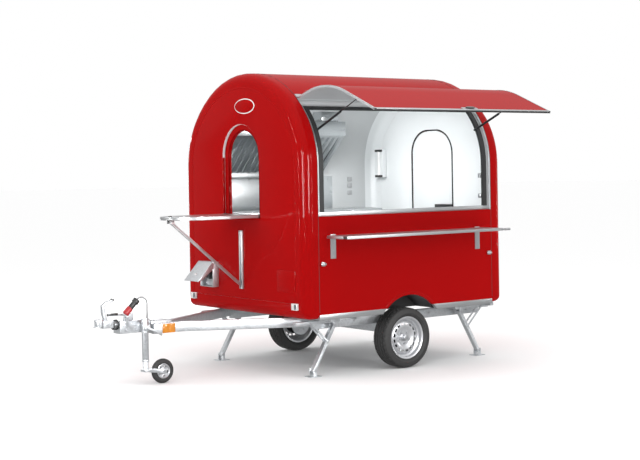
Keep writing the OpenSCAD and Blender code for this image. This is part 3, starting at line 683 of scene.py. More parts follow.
def along_skin(bm, x0, x1, t0, t1, foot, start=None):
    """A strip from x0 to x1 and t0 to t1 inside the skin: from the start angle on the roof down to the foot height,
    or without a start angle from one foot over the roof to the other."""
    crown, near, other = (Vector((0, 0, CROWN_Z)), Vector((0, SHOULDER_Y, EAVES)), Vector((0, -SHOULDER_Y, EAVES)))
    if start is None:
        bar = Bar(bm, [(x0, HALF - t0, foot), (x1, HALF - t0, foot), (x1, HALF - t1, foot), (x0, HALF - t1, foot)])
        bar.go((0, 0, EAVES - foot))
        bar.turn(near, X, pi / 2 - LEAN, 14).turn(crown, X, 2 * LEAN, 20).turn(other, X, pi / 2 - LEAN, 14)
        bar.go((0, 0, foot - EAVES)).end()
        return
    a, b = skin_point(start, t0), skin_point(start, t1)
    bar = Bar(bm, [(x0, a.y, a.z), (x1, a.y, a.z), (x1, b.y, b.z), (x0, b.y, b.z)])
    if start < LEAN:
        bar.turn(crown, X, -(LEAN - start), 5)
        bar.turn(near, X, -(pi / 2 - LEAN), 18)
    else:
        bar.turn(near, X, -(pi / 2 - start), 18)
    bar.go((0, 0, foot - EAVES)).end()


def open_canopy(bm):
    """Turns what was made in the closed place to the open one."""
    bmesh.ops.rotate(bm, verts=bm.verts[:], cent=CANOPY_AXIS + AXLE, matrix=Matrix.Rotation(CANOPY_OPEN, 3, "X"))


def is_inner(face):
    """1 for a face that looks into the cabin, 0 for one that looks out."""
    at = face.calc_center_median() - AXLE
    middle = Vector((max(-0.9, min(0.9, at.x)), max(-0.5, min(0.5, at.y)), max(0.9, min(CROWN_Z, at.z))))
    return 1 if face.normal.dot(at - middle) < -0.02 * (at - middle).length else 0


# ---------------------------------------------------------------- operators

class TRAILER_OT_body(bpy.types.Operator):
    """Moulded end caps, end walls, roof, side panels, rails and their seams"""
    bl_idname = "trailer.body"
    bl_label = "Body shell"

    def execute(self, context):
        skins = ["gloss_red", "white_lining"]
        for node in ("front_cap", "rear_cap"):
            dress(node, "grp_red", skins, 0, 40.0, is_inner)
        # The roof and side panels take the darker copy of the lining inside, as painted shade
        for node in ("roof_panel", "side_panel_left", "side_panel_right"):
            dress(node, "grp_red", ["gloss_red", "pale_lining"], 0, 30.0, is_inner)
        for node in ("front_wall", "rear_wall"):
            dress(node, "grp_red", skins, 0.004, 30.0, is_inner, 3)
        dress("window_recess", "grp_red", skins, 0.003, 30.0, lambda face: 1 if face.normal.x < -0.7 else 0, 3)
        dress("side_rails", "aluminium", "aluminium", 0.004)
        dress("hinge_rail", "aluminium", "aluminium", 0.002)
        dress("wheel_boxes", "black_plastic", "black_plastic", 0.001)
        dress("floor", "floor_grey", "floor_board", 0.002)

        seam = settings("body").seam
        bm = bmesh.new()
        for x in (-SEAM, SEAM):
            along_skin(bm, x - seam / 2, x + seam / 2, -0.0008, 0.002, foot=BOTTOM + 0.06)
        tidy(bm)
        put("cap_seams", bm, "body", "rubber", "black_rubber")

        # Raised bead round the flat of each end wall
        bm = bmesh.new()
        t, w, foot = 0.140, 0.007, BOTTOM + 0.15
        for face, out in ((FACE, 1), (-FACE, -1)):
            near, far, rise = HALF - t - w, HALF - t + w, 0.0024 * out
            bar = Bar(bm, [(face - 0.001 * out, near, foot), (face + rise, near + 0.004, foot),
                           (face + rise, far - 0.004, foot), (face - 0.001 * out, far, foot)])
            bar.go((0, 0, EAVES - foot))
            bar.turn((0, SHOULDER_Y, EAVES), X, pi / 2 - LEAN, 14).turn((0, 0, CROWN_Z), X, 2 * LEAN, 20)
            bar.turn((0, -SHOULDER_Y, EAVES), X, pi / 2 - LEAN, 14).go((0, 0, foot - EAVES)).end()
        tidy(bm)
        put("wall_beads", bm, "body", "grp_red", "gloss_red", sharp=50)

        # Flare round the wheel arch in the lower edge of each side panel
        bm = bmesh.new()
        arch = TYRE_R + 0.127
        rail_top = part_box("side_panel_left")[0].z
        low = atan2(rail_top - WHEEL_Z, sqrt(arch ** 2 - (rail_top - WHEEL_Z) ** 2))
        for side in (1, -1):
            y0, y1 = side * (HALF - 0.004), side * (HALF + 0.003)
            def at(r, y):
                return (r * cos(low), y, WHEEL_Z + r * sin(low))
            bar = Bar(bm, [at(arch - 0.002, y0), at(arch + 0.036, y0), at(arch + 0.026, y1), at(arch, y1)])
            bar.turn((0, 0, WHEEL_Z), Y, -(pi - 2 * low), 30).end()
        tidy(bm)
        put("arch_flares", bm, "body", "grp_red", "gloss_red", sharp=50)
        return {"FINISHED"}


class TRAILER_OT_badge(bpy.types.Operator):
    """Blank oval badge, front hatch outline and the small fittings of the front wall"""
    bl_idname = "trailer.badge"
    bl_label = "Badge and hatch"

    def execute(self, context):
        for name, grow, out, finish in (("badge_edge", 0.0, 0.004, "badge_white"),
                                        ("badge_field", -0.009, 0.0065, "gloss_red")):
            bm = bmesh.new()
            place = AXLE_PLACE @ Matrix.Translation((FACE - 0.001 + out / 2, 0.082, 2.513)) @ TO_FRONT
            bmesh.ops.create_cone(bm, cap_ends=True, segments=64, radius1=1, radius2=0.985, depth=1,
                                  matrix=place @ Matrix.Diagonal((0.073 + grow, 0.166 + grow, out + 0.002, 1)))
            soften(bm, 0.0012, 40)
            put(name, bm, "body", "grp_red" if finish == "gloss_red" else "lamp_white", finish)

        # Service hatch in the lower corner of the front wall
        bm = bmesh.new()
        y0, y1, z0, z1 = 0.566, 0.846, 0.790, 0.990
        block(bm, (FACE - 0.004, y0, z0), (FACE + 0.0035, y1, z1), 0.003)
        put("service_hatch", bm, "body", "grp_red", "gloss_red")
        bm = bmesh.new()
        for a, b in (((y0 - 0.004, z0 - 0.004), (y1 + 0.004, z0)), ((y0 - 0.004, z1), (y1 + 0.004, z1 + 0.004)),
                     ((y0 - 0.004, z0), (y0, z1)), ((y1, z0), (y1 + 0.004, z1))):
            block(bm, (FACE - 0.002, a[0], a[1]), (FACE + 0.0012, b[0], b[1]))
        put("hatch_seal", bm, "body", "grp_red", "gloss_red")
        bm = bmesh.new()
        for z in (z0 + 0.04, z1 - 0.04):
            rod(bm, (FACE, y0 + 0.016, z), (FACE + 0.0048, y0 + 0.016, z), 0.005, 20, 0.004)
        rod(bm, (FACE - 0.001, -0.756, 0.742), (FACE + 0.004, -0.756, 0.742), 0.010, 20, 0.007)
        put("hatch_screws", bm, "body", "grp_red", "gloss_red")
        return {"FINISHED"}


class TRAILER_OT_serving(bpy.types.Operator):
    """Frame of the serving opening with its seal, corner plates and catches"""
    bl_idname = "trailer.serving"
    bl_label = "Serving opening"

    def execute(self, context):
        dress("serving_frame", "grey_frame", "frame_grey", 0.0015, 30)
        jamb = SEAM - 0.076
        bm = bmesh.new()
        for side in (1, -1):
            along_skin(bm, side * (jamb - 0.008), side * jamb, 0.0200, 0.046, SILL + 0.037, HINGE_ANGLE + radians(5))
        a, b = skin_point(HINGE_ANGLE + radians(4.9), 0.0205), skin_point(HINGE_ANGLE + radians(4.9), 0.046)
        c, d = skin_point(HINGE_ANGLE + radians(6.3), 0.046), skin_point(HINGE_ANGLE + radians(6.3), 0.0205)
        Bar(bm, [(-jamb, a.y, a.z), (-jamb, b.y, b.z), (-jamb, c.y, c.z), (-jamb, d.y, d.z)]).go((2 * jamb, 0, 0)).end()
        tidy(bm)
        put("opening_seal", bm, "body", "rubber", "black_rubber", sharp=40)

        # Bright sill strip and the light strips beside the jambs
        bm = bmesh.new()
        block(bm, (-SEAM + 0.004, HALF - 0.046, SILL + 0.036), (SEAM - 0.004, HALF - 0.0200, SILL + 0.040), 0.0015)
        block(bm, (-SEAM + 0.004, HALF - 0.0235, SILL + 0.002), (SEAM - 0.004, HALF - 0.0200, SILL + 0.040), 0.001)
        for side in (1, -1):
            along_skin(bm, side * (SEAM - 0.030), side * (SEAM - 0.004), 0.0202, 0.0232,
                       start=HINGE_ANGLE + radians(1.6), foot=SILL + 0.04)
        tidy(bm)
        put("jamb_strips", bm, "body", "aluminium", "aluminium_upright", sharp=30)
        bm = bmesh.new()
        for side in (1, -1):
            along_skin(bm, side * (SEAM - 0.0755), side * (SEAM - 0.034), 0.0200, 0.0240,
                       start=HINGE_ANGLE + radians(4.8), foot=SILL + 0.039)
        tidy(bm)
        put("jamb_rubbers", bm, "body", "rubber", "black_rubber", sharp=40)

        # Corner plates under the hinge line, with their screws
        bm = bmesh.new()
        screws = bmesh.new()
        for side in (1, -1):
            for k, angle in enumerate((2.4, 3.6, 4.6)):
                p = skin_point(HINGE_ANGLE + radians(angle), 0.0235)
                q = skin_point(HINGE_ANGLE + radians(angle + 0.9), 0.0235)
                width = 0.030 - 0.006 * k
                n = skin_point(HINGE_ANGLE + radians(angle), 0.0210) - p
                x0, x1 = side * (SEAM - 0.006), side * (SEAM - 0.006 - 2.2 * width)
                Bar(bm, [(x0, p.y, p.z), (x1, p.y, p.z), (x1, p.y + n.y, p.z + n.z), (x0, p.y + n.y, p.z + n.z)]).go(
                    (0, q.y - p.y, q.z - p.z)).end()
            s = skin_point(HINGE_ANGLE + radians(3.6), 0.0225)
            out = (s - Vector((0, 0, CROWN_Z))).normalized()
            hex_bolt(screws, Vector((side * (SEAM - 0.03), s.y, s.z)), out, 0.004, 0.002)
        tidy(bm)
        put("corner_plates", bm, "body", "aluminium", "aluminium")
        put("corner_screws", screws, "body", "aluminium", "bolt_zinc")

        # Keeps for the canopy's lock on the inside of the rear jamb
        bm = bmesh.new()
        for z in (1.615, 1.815):
            block(bm, (-jamb, HALF - 0.085, z - 0.022), (-jamb + 0.016, HALF - 0.050, z + 0.022), 0.004)
        put("lock_keeps", bm, "body", "aluminium", "bolt_zinc")
        return {"FINISHED"}


class TRAILER_OT_canopy(bpy.types.Operator):
    """Raised canopy with its lining, edge trims, rubber lip, lock and gas struts"""
    bl_idname = "trailer.canopy"
    bl_label = "Canopy"

    def execute(self, context):
        turn_back = Matrix.Rotation(-CANOPY_OPEN, 3, "X")

        def lined(face):
            at = face.calc_center_median() - AXLE
            closed = turn_back @ (at - CANOPY_AXIS) + CANOPY_AXIS
            normal = turn_back @ face.normal
            out = Vector((0, closed.y, closed.z - max(CROWN_Z, min(closed.z, EAVES)) + 0.0001 * closed.z))
            if closed.z < EAVES:
                out = Y
            return 1 if normal.dot(out) < 0.2 * out.length else 0

        dress("canopy", "grp_red", ["gloss_red", "grey_lining"], 0.0, 30, lined)
        trim = settings("canopy").trim
        first, end_x = HINGE_ANGLE + radians(1.3), SEAM - 0.006
        foot = SILL + 0.006
        bm = bmesh.new()
        for side in (1, -1):
            along_skin(bm, side * (end_x - 0.011), side * (end_x + 0.0015), -0.0022, 0.0095, start=first, foot=foot)
        tidy(bm)
        open_canopy(bm)
        put("canopy_end_trims", bm, "canopy_lid", "aluminium", "aluminium", sharp=30)
        bm = bmesh.new()
        block(bm, (-end_x - 0.0015, HALF - 0.0186, foot - 0.001), (end_x + 0.0015, HALF + 0.0024, foot + trim),
              0.0035, 3)
        open_canopy(bm)
        put("canopy_edge_trim", bm, "canopy_lid", "aluminium", "aluminium")
        bm = bmesh.new()
        block(bm, (-end_x, HALF - 0.0180, foot - 0.0052), (end_x, HALF - 0.001, foot - 0.0006), 0.0015)
        open_canopy(bm)
        put("canopy_lip", bm, "canopy_lid", "rubber", "black_rubber")
        bm = bmesh.new()
        for side in (1, -1):
            block(bm, (side * end_x - 0.014 * side, HALF - 0.0188, foot - 0.004),
                  (side * end_x + 0.0022 * side, HALF + 0.0030, foot + 0.012), 0.003, 2)
        open_canopy(bm)
        put("canopy_corners", bm, "canopy_lid", "rubber", "black_plastic")

        # Ribs under the canopy
        bm = bmesh.new()
        for x in (-0.36, 0.36):
            along_skin(bm, x - 0.016, x + 0.016, 0.0178, 0.0215, start=first + radians(6.5), foot=SILL + 0.06)
        tidy(bm)
        open_canopy(bm)
        put("canopy_ribs", bm, "canopy_lid", "aluminium", "frame_grey")

        # Lock at the outer edge: an oval handle on its plate
        bm = bmesh.new()
        x = -0.060
        block(bm, (x - 0.095, HALF + 0.0018, foot + 0.006), (x + 0.095, HALF + 0.0048, foot + 0.058), 0.0014)
        open_canopy(bm)
        put("lock_plate", bm, "canopy_lid", "aluminium", "aluminium")
        bm = bmesh.new()
        place = AXLE_PLACE @ Matrix.Translation((x, HALF + 0.0115, foot + 0.036)) @ Matrix.Rotation(pi / 2, 4, "X")
        bmesh.ops.create_cone(bm, cap_ends=True, segments=40, radius1=1, radius2=0.94, depth=1,
                              matrix=place @ Matrix.Diagonal((0.058, 0.0165, 0.013, 1)))
        soften(bm, 0.004, 40, 3)
        open_canopy(bm)
        put("lock_handle", bm, "canopy_lid", "black_plastic", "knob_black")

        for end in ("front", "rear"):
            dress("strut_tube_" + end, "black_steel", "black_steel", 0.0008)
            dress("strut_rod_" + end, "black_steel", "polished_rod", 0.0004)
        return {"FINISHED"}


class TRAILER_OT_window(bpy.types.Operator):
    """Front window flap with its edge profile, knob, stay and wall channel"""
    bl_idname = "trailer.window"
    bl_label = "Front window"

    def execute(self, context):
        lo, hi = part_box("front_flap")

        def faced(face):
            return 1 if face.normal.z < -0.7 and face.calc_center_median().z > 1.45 else 0

        dress("front_flap", "aluminium", ["stainless", "gloss_red"], 0.003, 30, faced, 3)
        dress("flap_stay", "aluminium", "aluminium", 0.0025, 30, None, 3)
        dress("flap_channel", "aluminium", "aluminium_upright", 0.0025, 30, None, 3)
        tip, half = hi.x, hi.y
        straight = tip - half
        axis_x, z0, z1 = lo.x + 0.015, 1.460, 1.490
        heel = axis_x + 0.02
        bm = bmesh.new()
        for side in (1, -1):
            y0, y1 = side * (half - 0.001), side * (half + 0.0022)
            bar = Bar(bm, [(heel, y0, z0 + 0.002), (heel, y1, z0 + 0.005), (heel, y1, z1 - 0.005),
                           (heel, y0, z1 - 0.002)])
            bar.go((straight - heel, 0, 0))
            bar.turn((straight, 0, z0), Z, -side * pi / 2, 20).end()
        tidy(bm)
        put("flap_edging", bm, "window_flap", "aluminium", "aluminium", sharp=30)
        bm = bmesh.new()
        for side in (1, -1):
            block(bm, (axis_x - 0.012, side * (half - 0.018), z0 - 0.002),
                  (axis_x + 0.026, side * (half + 0.003), z1 + 0.003), 0.003)
        rod(bm, (tip - 0.055, 0, z1 - 0.001), (tip - 0.055, 0, z1 + 0.010), 0.018, 24, 0.016, 0.003)
        put("flap_corners", bm, "window_flap", "black_plastic", "knob_black")
        # Knuckles of the piano hinge
        bm = bmesh.new()
        for k in range(9):
            y = -0.24 + 0.06 * k
            rod(bm, (axis_x, y - 0.024, z0 - 0.0015), (axis_x, y + 0.024, z0 - 0.0015), 0.005, 16, None, 0.001)
        put("flap_hinge", bm, "window_flap", "aluminium", "aluminium")
        # Screws of the channel and the slider at the foot of the stay
        bm = bmesh.new()
        clo, chi = part_box("flap_channel")
        for z in (clo.z + 0.012, chi.z - 0.012):
            for y in (clo.y + 0.006, chi.y - 0.006):
                rod(bm, (chi.x - 0.0005, y, z), (chi.x + 0.0015, y, z), 0.0035, 12)
        for z in (clo.z + 0.005, chi.z - 0.005):
            block(bm, (clo.x + 0.004, clo.y + 0.012, z - 0.004), (chi.x + 0.001, chi.y - 0.012, z + 0.004), 0.0015)
        put("channel_ends", bm, "body", "aluminium", "bolt_zinc")
        # Thin seal inside the window opening
        bm = bmesh.new()
        wlo, whi = 0.25, 2.284
        back = FACE - 0.039
        for side in (1, -1):
            y0, y1 = side * wlo, side * (wlo + 0.008)
            bar = Bar(bm, [(x, y, SILL + 0.004) for x, y in ((back - 0.002, y0), (back + 0.004, y0),
                                                              (back + 0.004, y1), (back - 0.002, y1))])
            bar.go((0, 0, whi - wlo - SILL - 0.004)).turn((0, 0, whi - wlo), X, side * pi / 2, 18).end()
        tidy(bm)
        put("window_seal", bm, "body", "grp_red", "gloss_red")
        return {"FINISHED"}


class TRAILER_OT_door(bpy.types.Operator):
    """Rear door with its seal, handle and hinges"""
    bl_idname = "trailer.door"
    bl_label = "Rear door"

    def execute(self, context):
        dress("rear_door", "grp_red", ["gloss_red", "white_lining"], 0.003, 30, is_inner, 3)
        dress("door_hinges", "aluminium", "bolt_zinc", 0.0008)
        inner = part_box("rear_door")[1].x
        wall = part_box("rear_wall")
        half, top, bottom = 0.310, 2.290, 0.700
        corner = 0.240
        for name, x0, x1, w0, w1 in (("door_seal_inside", wall[1].x - 0.001, wall[1].x + 0.005, -0.002, 0.013),
                                     ("door_seal_outside", wall[0].x - 0.003, wall[0].x + 0.002, 0.000, 0.009)):
            bm = bmesh.new()
            foot = bottom + 0.01
            bar = Bar(bm, [(x0, half + w0, foot), (x1, half + w0, foot), (x1, half + w1, foot), (x0, half + w1, foot)])
            bar.go((0, 0, top - corner - foot)).turn((0, half - corner, top - corner), X, pi / 2, 14)
            bar.go((0, -2 * (half - corner), 0)).turn((0, corner - half, top - corner), X, pi / 2, 14)
            bar.go((0, 0, foot + corner - top)).end()
            tidy(bm)
            put(name, bm, "body", "rubber", "black_rubber", sharp=40)
        # Handle, lock and inner pull
        bm = bmesh.new()
        y, z = 0.245, 1.32
        face = wall[0].x - 0.004
        block(bm, (face - 0.006, y - 0.032, z - 0.085), (face + 0.001, y + 0.032, z + 0.085), 0.004, 3)
        rod(bm, (face - 0.005, y, z + 0.045), (face - 0.016, y, z + 0.045), 0.013, 24, 0.011, 0.002)
        put("door_handle_plate", bm, "door", "black_plastic", "knob_black")
        bm = bmesh.new()
        bar = Bar(bm, round_profile((face - 0.004, y, z - 0.060), (-1, 0, 0), 0.008))
        bar.go((-0.008, 0, 0)).turn((face - 0.012, y, z - 0.046), Y, pi / 2, 6).go((0, 0, 0.075)).end()
        tidy(bm)
        put("door_handle", bm, "door", "aluminium", "bolt_zinc")
        boxed("door_latch_inside", (inner - 0.001, y - 0.020, 1.26), (inner + 0.012, y + 0.020, 1.40), 0.005, 3,
              "door", "black_plastic", "knob_black")
        return {"FINISHED"}


class TRAILER_OT_shelf(bpy.types.Operator):
    """Folding side shelf with its end caps, brackets and the side catches"""
    bl_idname = "trailer.shelf"
    bl_label = "Side shelf"

    def execute(self, context):
        dress("side_shelf", "aluminium", "aluminium", 0.002, 30, None, 3)
        dress("shelf_fittings", "aluminium", "aluminium_upright", 0.0015)
        hi = part_box("side_shelf")[1]
        boxed("shelf_end_caps", (hi.x - 0.002, hi.y - 0.052, hi.z - 0.0255), (hi.x + 0.003, hi.y + 0.0015, hi.z + 0.0012), 0.002, 2,
              "shelf", "black_plastic", "knob_black")
        bm = bmesh.new()
        for x in (-0.885, 0.920):
            for z in (1.115, 1.165, 1.215):
                rod(bm, (x, HALF + 0.0065, z), (x, HALF + 0.010, z), 0.006, 20, 0.005)
        for x in (-1.040, 1.040):
            block(bm, (x - 0.030, HALF + 0.012, 1.038), (x + 0.030, HALF + 0.024, 1.056), 0.005, 3)
            rod(bm, (x, HALF + 0.022, 1.047), (x, HALF + 0.029, 1.047), 0.008, 20, 0.006, 0.001)
        put("side_catches", bm, "body", "aluminium", "bolt_zinc")
        return {"FINISHED"}


class TRAILER_OT_wheels(bpy.types.Operator):
    """Road wheels with slotted rims, wheel bolts, caps and treaded tyres"""
    bl_idname = "trailer.wheels"
    bl_label = "Road wheels"

    def execute(self, context):
        s = settings("wheels")
        steps = 96
        rim = 0.2025
        seat = rim - 0.014
        for name, side in (("left", 1), ("right", -1)):
            wheel = name + "_wheel"
            place = (AXLE_PLACE @ Matrix.Translation((0, side * TYRE_Y, WHEEL_Z))
                     @ Matrix.Rotation(-side * pi / 2, 4, "X"))
            w = 0.076
            barrel = [(seat - 0.006, -w), (seat - 0.004, -w - 0.001), (rim - 0.002, -w - 0.004), (rim, -w - 0.002),
                      (rim, -w + 0.001), (seat, -w + 0.006), (seat - 0.002, -0.02), (seat - 0.018, -0.008),
                      (seat - 0.018, 0.024), (seat - 0.002, 0.034), (seat, w - 0.006), (rim - 0.0005, w - 0.001),
                      (rim, w + 0.002), (rim - 0.002, w + 0.004), (seat + 0.004, w + 0.0025),
                      (seat - 0.003, w - 0.004), (seat - 0.0055, 0.036), (seat - 0.022, 0.026),
                      (seat - 0.022, -0.010), (seat - 0.006, -0.022), (seat - 0.006, -w)]
            turned_piece("rim_barrel_" + name, barrel, place, steps, wheel, "rim_silver", "rim_silver",
                         ("wheel_" + name,), sharp=38)
            # Pressed disc with a ring of slots
            bm = bmesh.new()
            turning(bm, [(0.030, 0.031), (0.046, 0.032), (0.070, 0.032), (0.082, 0.034), (0.094, 0.041),
                         (0.104, 0.0465), (0.113, 0.048), (0.120, 0.047), (0.142, 0.0425), (0.149, 0.040),
                         (0.158, 0.031), (seat - 0.021, 0.020)], steps)
            slots = []
            for f in bm.faces:
                at = f.calc_center_median()
                if 0.120 < at.xy.length < 0.142 and sector_of(at, steps) % 6 in (1, 2, 3, 4):
                    slots.append(f)
            punch(bm, slots, 0.0022, -s.slot_depth)
            bmesh.ops.recalc_face_normals(bm, faces=bm.faces[:])
            if sum(f.normal.z for f in bm.faces) < 0:
                bmesh.ops.reverse_faces(bm, faces=bm.faces[:])
            bmesh.ops.solidify(bm, geom=bm.faces[:], thickness=0.0035)
            bmesh.ops.transform(bm, matrix=place, verts=bm.verts[:])
            put("rim_disc_" + name, bm, wheel, "rim_silver", "rim_silver", sharp=38)
            # Hub with its cap, and five bolts
            hub = [(0.020, -0.06), (0.110, -0.06), (0.112, -0.056), (0.112, 0.0), (0.100, 0.006), (0.060, 0.018),
                   (0.040, 0.0285), (0.020, 0.0285)]
            turned_piece("hub_" + name, hub, place, 48, wheel, "black_steel", "black_steel")
            cap = [(0.0, 0.072), (0.012, 0.0715), (0.024, 0.069), (0.029, 0.063), (0.0305, 0.050), (0.031, 0.0352),
                   (0.034, 0.0335), (0.034, 0.0315)]
            turned_piece("hub_cap_" + name, cap, place, 40, wheel, "rim_silver", "bolt_zinc")
            bm = bmesh.new()
            for k in range(5):
                a = 2 * pi * k / 5 + 0.3
                for r0, r1, z0, z1, sides in ((0.0125, 0.0110, 0.0325, 0.036, 20), (0.0095, 0.0088, 0.036, 0.047, 6)):
                    middle = Matrix.Translation((0.056 * cos(a), 0.056 * sin(a), (z0 + z1) / 2))
                    bmesh.ops.create_cone(bm, cap_ends=True, segments=sides, radius1=r0, radius2=r1, depth=z1 - z0,
                                          matrix=place @ middle)
            put("wheel_bolts_" + name, bm, wheel, "black_steel", "bolt_zinc")
            # Tyre
            r, g, lugs = TYRE_R, s.groove, 120
            bm = bmesh.new()
            half = [(seat + 0.0008, 0.070), (rim + 0.004, 0.0765), (rim + 0.008, 0.081), (rim + 0.011, 0.084),
                    (rim + 0.020, 0.0925), (rim + 0.028, 0.0955), (rim + 0.030, 0.0971), (rim + 0.033, 0.0971),
                    (rim + 0.035, 0.0960), (r - 0.036, 0.0963), (r - 0.024, 0.0925), (r - 0.016, 0.0885),
                    (r - 0.0142, 0.0895), (r - 0.010, 0.0860), (r - 0.004, 0.074), (r - 0.0022, 0.060),
                    (r - 0.0020, 0.0560), (r - 0.0020 - g, 0.0545), (r - 0.0020 - g, 0.0485),
                    (r - 0.0014, 0.0470), (r - 0.0004, 0.0220), (r - 0.0004 - g, 0.0205),
                    (r - 0.0004 - g, 0.0145), (r, 0.0130)]
            turning(bm, half + [(a, -b) for a, b in reversed(half)], lugs)
            blocks = []
            for f in bm.faces:
                at = f.calc_center_median()
                z = abs(at.z)
                row = 0 if z > 0.05 else 1
                on_tread = at.xy.length > r - 0.008 and (0.0575 < z < 0.086 or 0.023 < z < 0.046)
                if on_tread and sector_of(at, lugs) % 3 == row:
                    blocks.append(f)
            bmesh.ops.inset_individual(bm, faces=blocks, thickness=0.0030, depth=-0.0045, use_even_offset=True)
            bmesh.ops.transform(bm, matrix=place, verts=bm.verts[:])
            bmesh.ops.remove_doubles(bm, verts=bm.verts[:], dist=0.00001)
            inner = [e for e in bm.edges if len(e.link_faces) == 1]
            bmesh.ops.bridge_loops(bm, edges=inner)
            bmesh.ops.recalc_face_normals(bm, faces=bm.faces[:])
            put("tyre_finish_" + name, bm, wheel, "tyre", "tyre_rubber", ("tyre_" + name,), sharp=34)
        return {"FINISHED"}


class TRAILER_OT_jockey(bpy.types.Operator):
    """Jockey wheel with its mast, fork, clamp and roller"""
    bl_idname = "trailer.jockey"
    bl_label = "Jockey wheel"

    def execute(self, context):
        dress("jockey_mast", "galvanised", "galvanised", 0.0015)
        dress("jockey_fork", "galvanised", "galvanised", 0.0015)
        lo, hi = part_box("jockey_wheel")
        at = (lo + hi) / 2
        place = AXLE_PLACE @ Matrix.Translation(at) @ Matrix.Rotation(-pi / 2, 4, "X")
        r = (hi.z - lo.z) / 2
        half = [(0.0665, 0.022), (0.070, 0.0255), (0.077, 0.0275), (0.091, 0.0265), (0.100, 0.0230),
                (r - 0.005, 0.016), (r - 0.001, 0.0080)]
        turned_piece("jockey_tyre", half + [(r, 0.0)] + [(a, -b) for a, b in reversed(half)] + [half[0]], place, 56,
                     "jockey_roller", "rubber", "tyre_rubber", ("jockey_wheel",), sharp=40)
        # Pressed rim with five holes, on its hub
        bm = bmesh.new()
        steps = 50
        turning(bm, [(0.0665, 0.0225), (0.0635, 0.0235), (0.0605, 0.0200), (0.054, 0.0115), (0.036, 0.0100),
                     (0.022, 0.0110), (0.018, 0.0130), (0.0085, 0.0130)], steps)
        holes = []
        for f in bm.faces:
            middle = f.calc_center_median()
            if 0.036 < middle.xy.length < 0.050 and sector_of(middle, steps) % 10 in (1, 2, 3, 4, 5):
                holes.append(f)
        punch(bm, holes, 0.0018, -0.001)
        twin = bmesh.ops.duplicate(bm, geom=bm.verts[:] + bm.edges[:] + bm.faces[:])["geom"]
        bmesh.ops.scale(bm, vec=(1, 1, -1), verts=[v for v in twin if isinstance(v, bmesh.types.BMVert)])
        bmesh.ops.recalc_face_normals(bm, faces=bm.faces[:])
        bmesh.ops.solidify(bm, geom=bm.faces[:], thickness=0.0018)
        bmesh.ops.transform(bm, matrix=place, verts=bm.verts[:])
        put("jockey_rim", bm, "jockey_roller", "rim_silver", "rim_silver", sharp=40)
        bm = bmesh.new()
        rod(bm, at + Vector((0, -0.028, 0)), at + Vector((0, 0.028, 0)), 0.017, 28, None, 0.002)
        rod(bm, at + Vector((0, -0.0425, 0)), at + Vector((0, 0.0425, 0)), 0.008, 20)
        for side in (1, -1):
            hex_bolt(bm, at + Vector((0, side * 0.0405, 0)), (0, side, 0), 0.0105, 0.006)
        put("jockey_hub", bm, "jockey_roller", "black_steel", "bolt_zinc")
        # Collars along the mast and on its clamp
        bm = bmesh.new()
        mast = Vector((part_box("jockey_fork")[1].x - 0.030, at.y, 0))
        for z, radius, height in ((0.470, 0.0325, 0.012), (0.522, 0.0325, 0.012),
                                  (0.212, 0.0318, 0.014), (0.584, 0.0318, 0.014)):
            rod(bm, mast + Z * z, mast + Z * (z + height), radius, 36, None, 0.002)
        put("mast_collars", bm, "body", "galvanised", "galvanised")
        return {"FINISHED"}


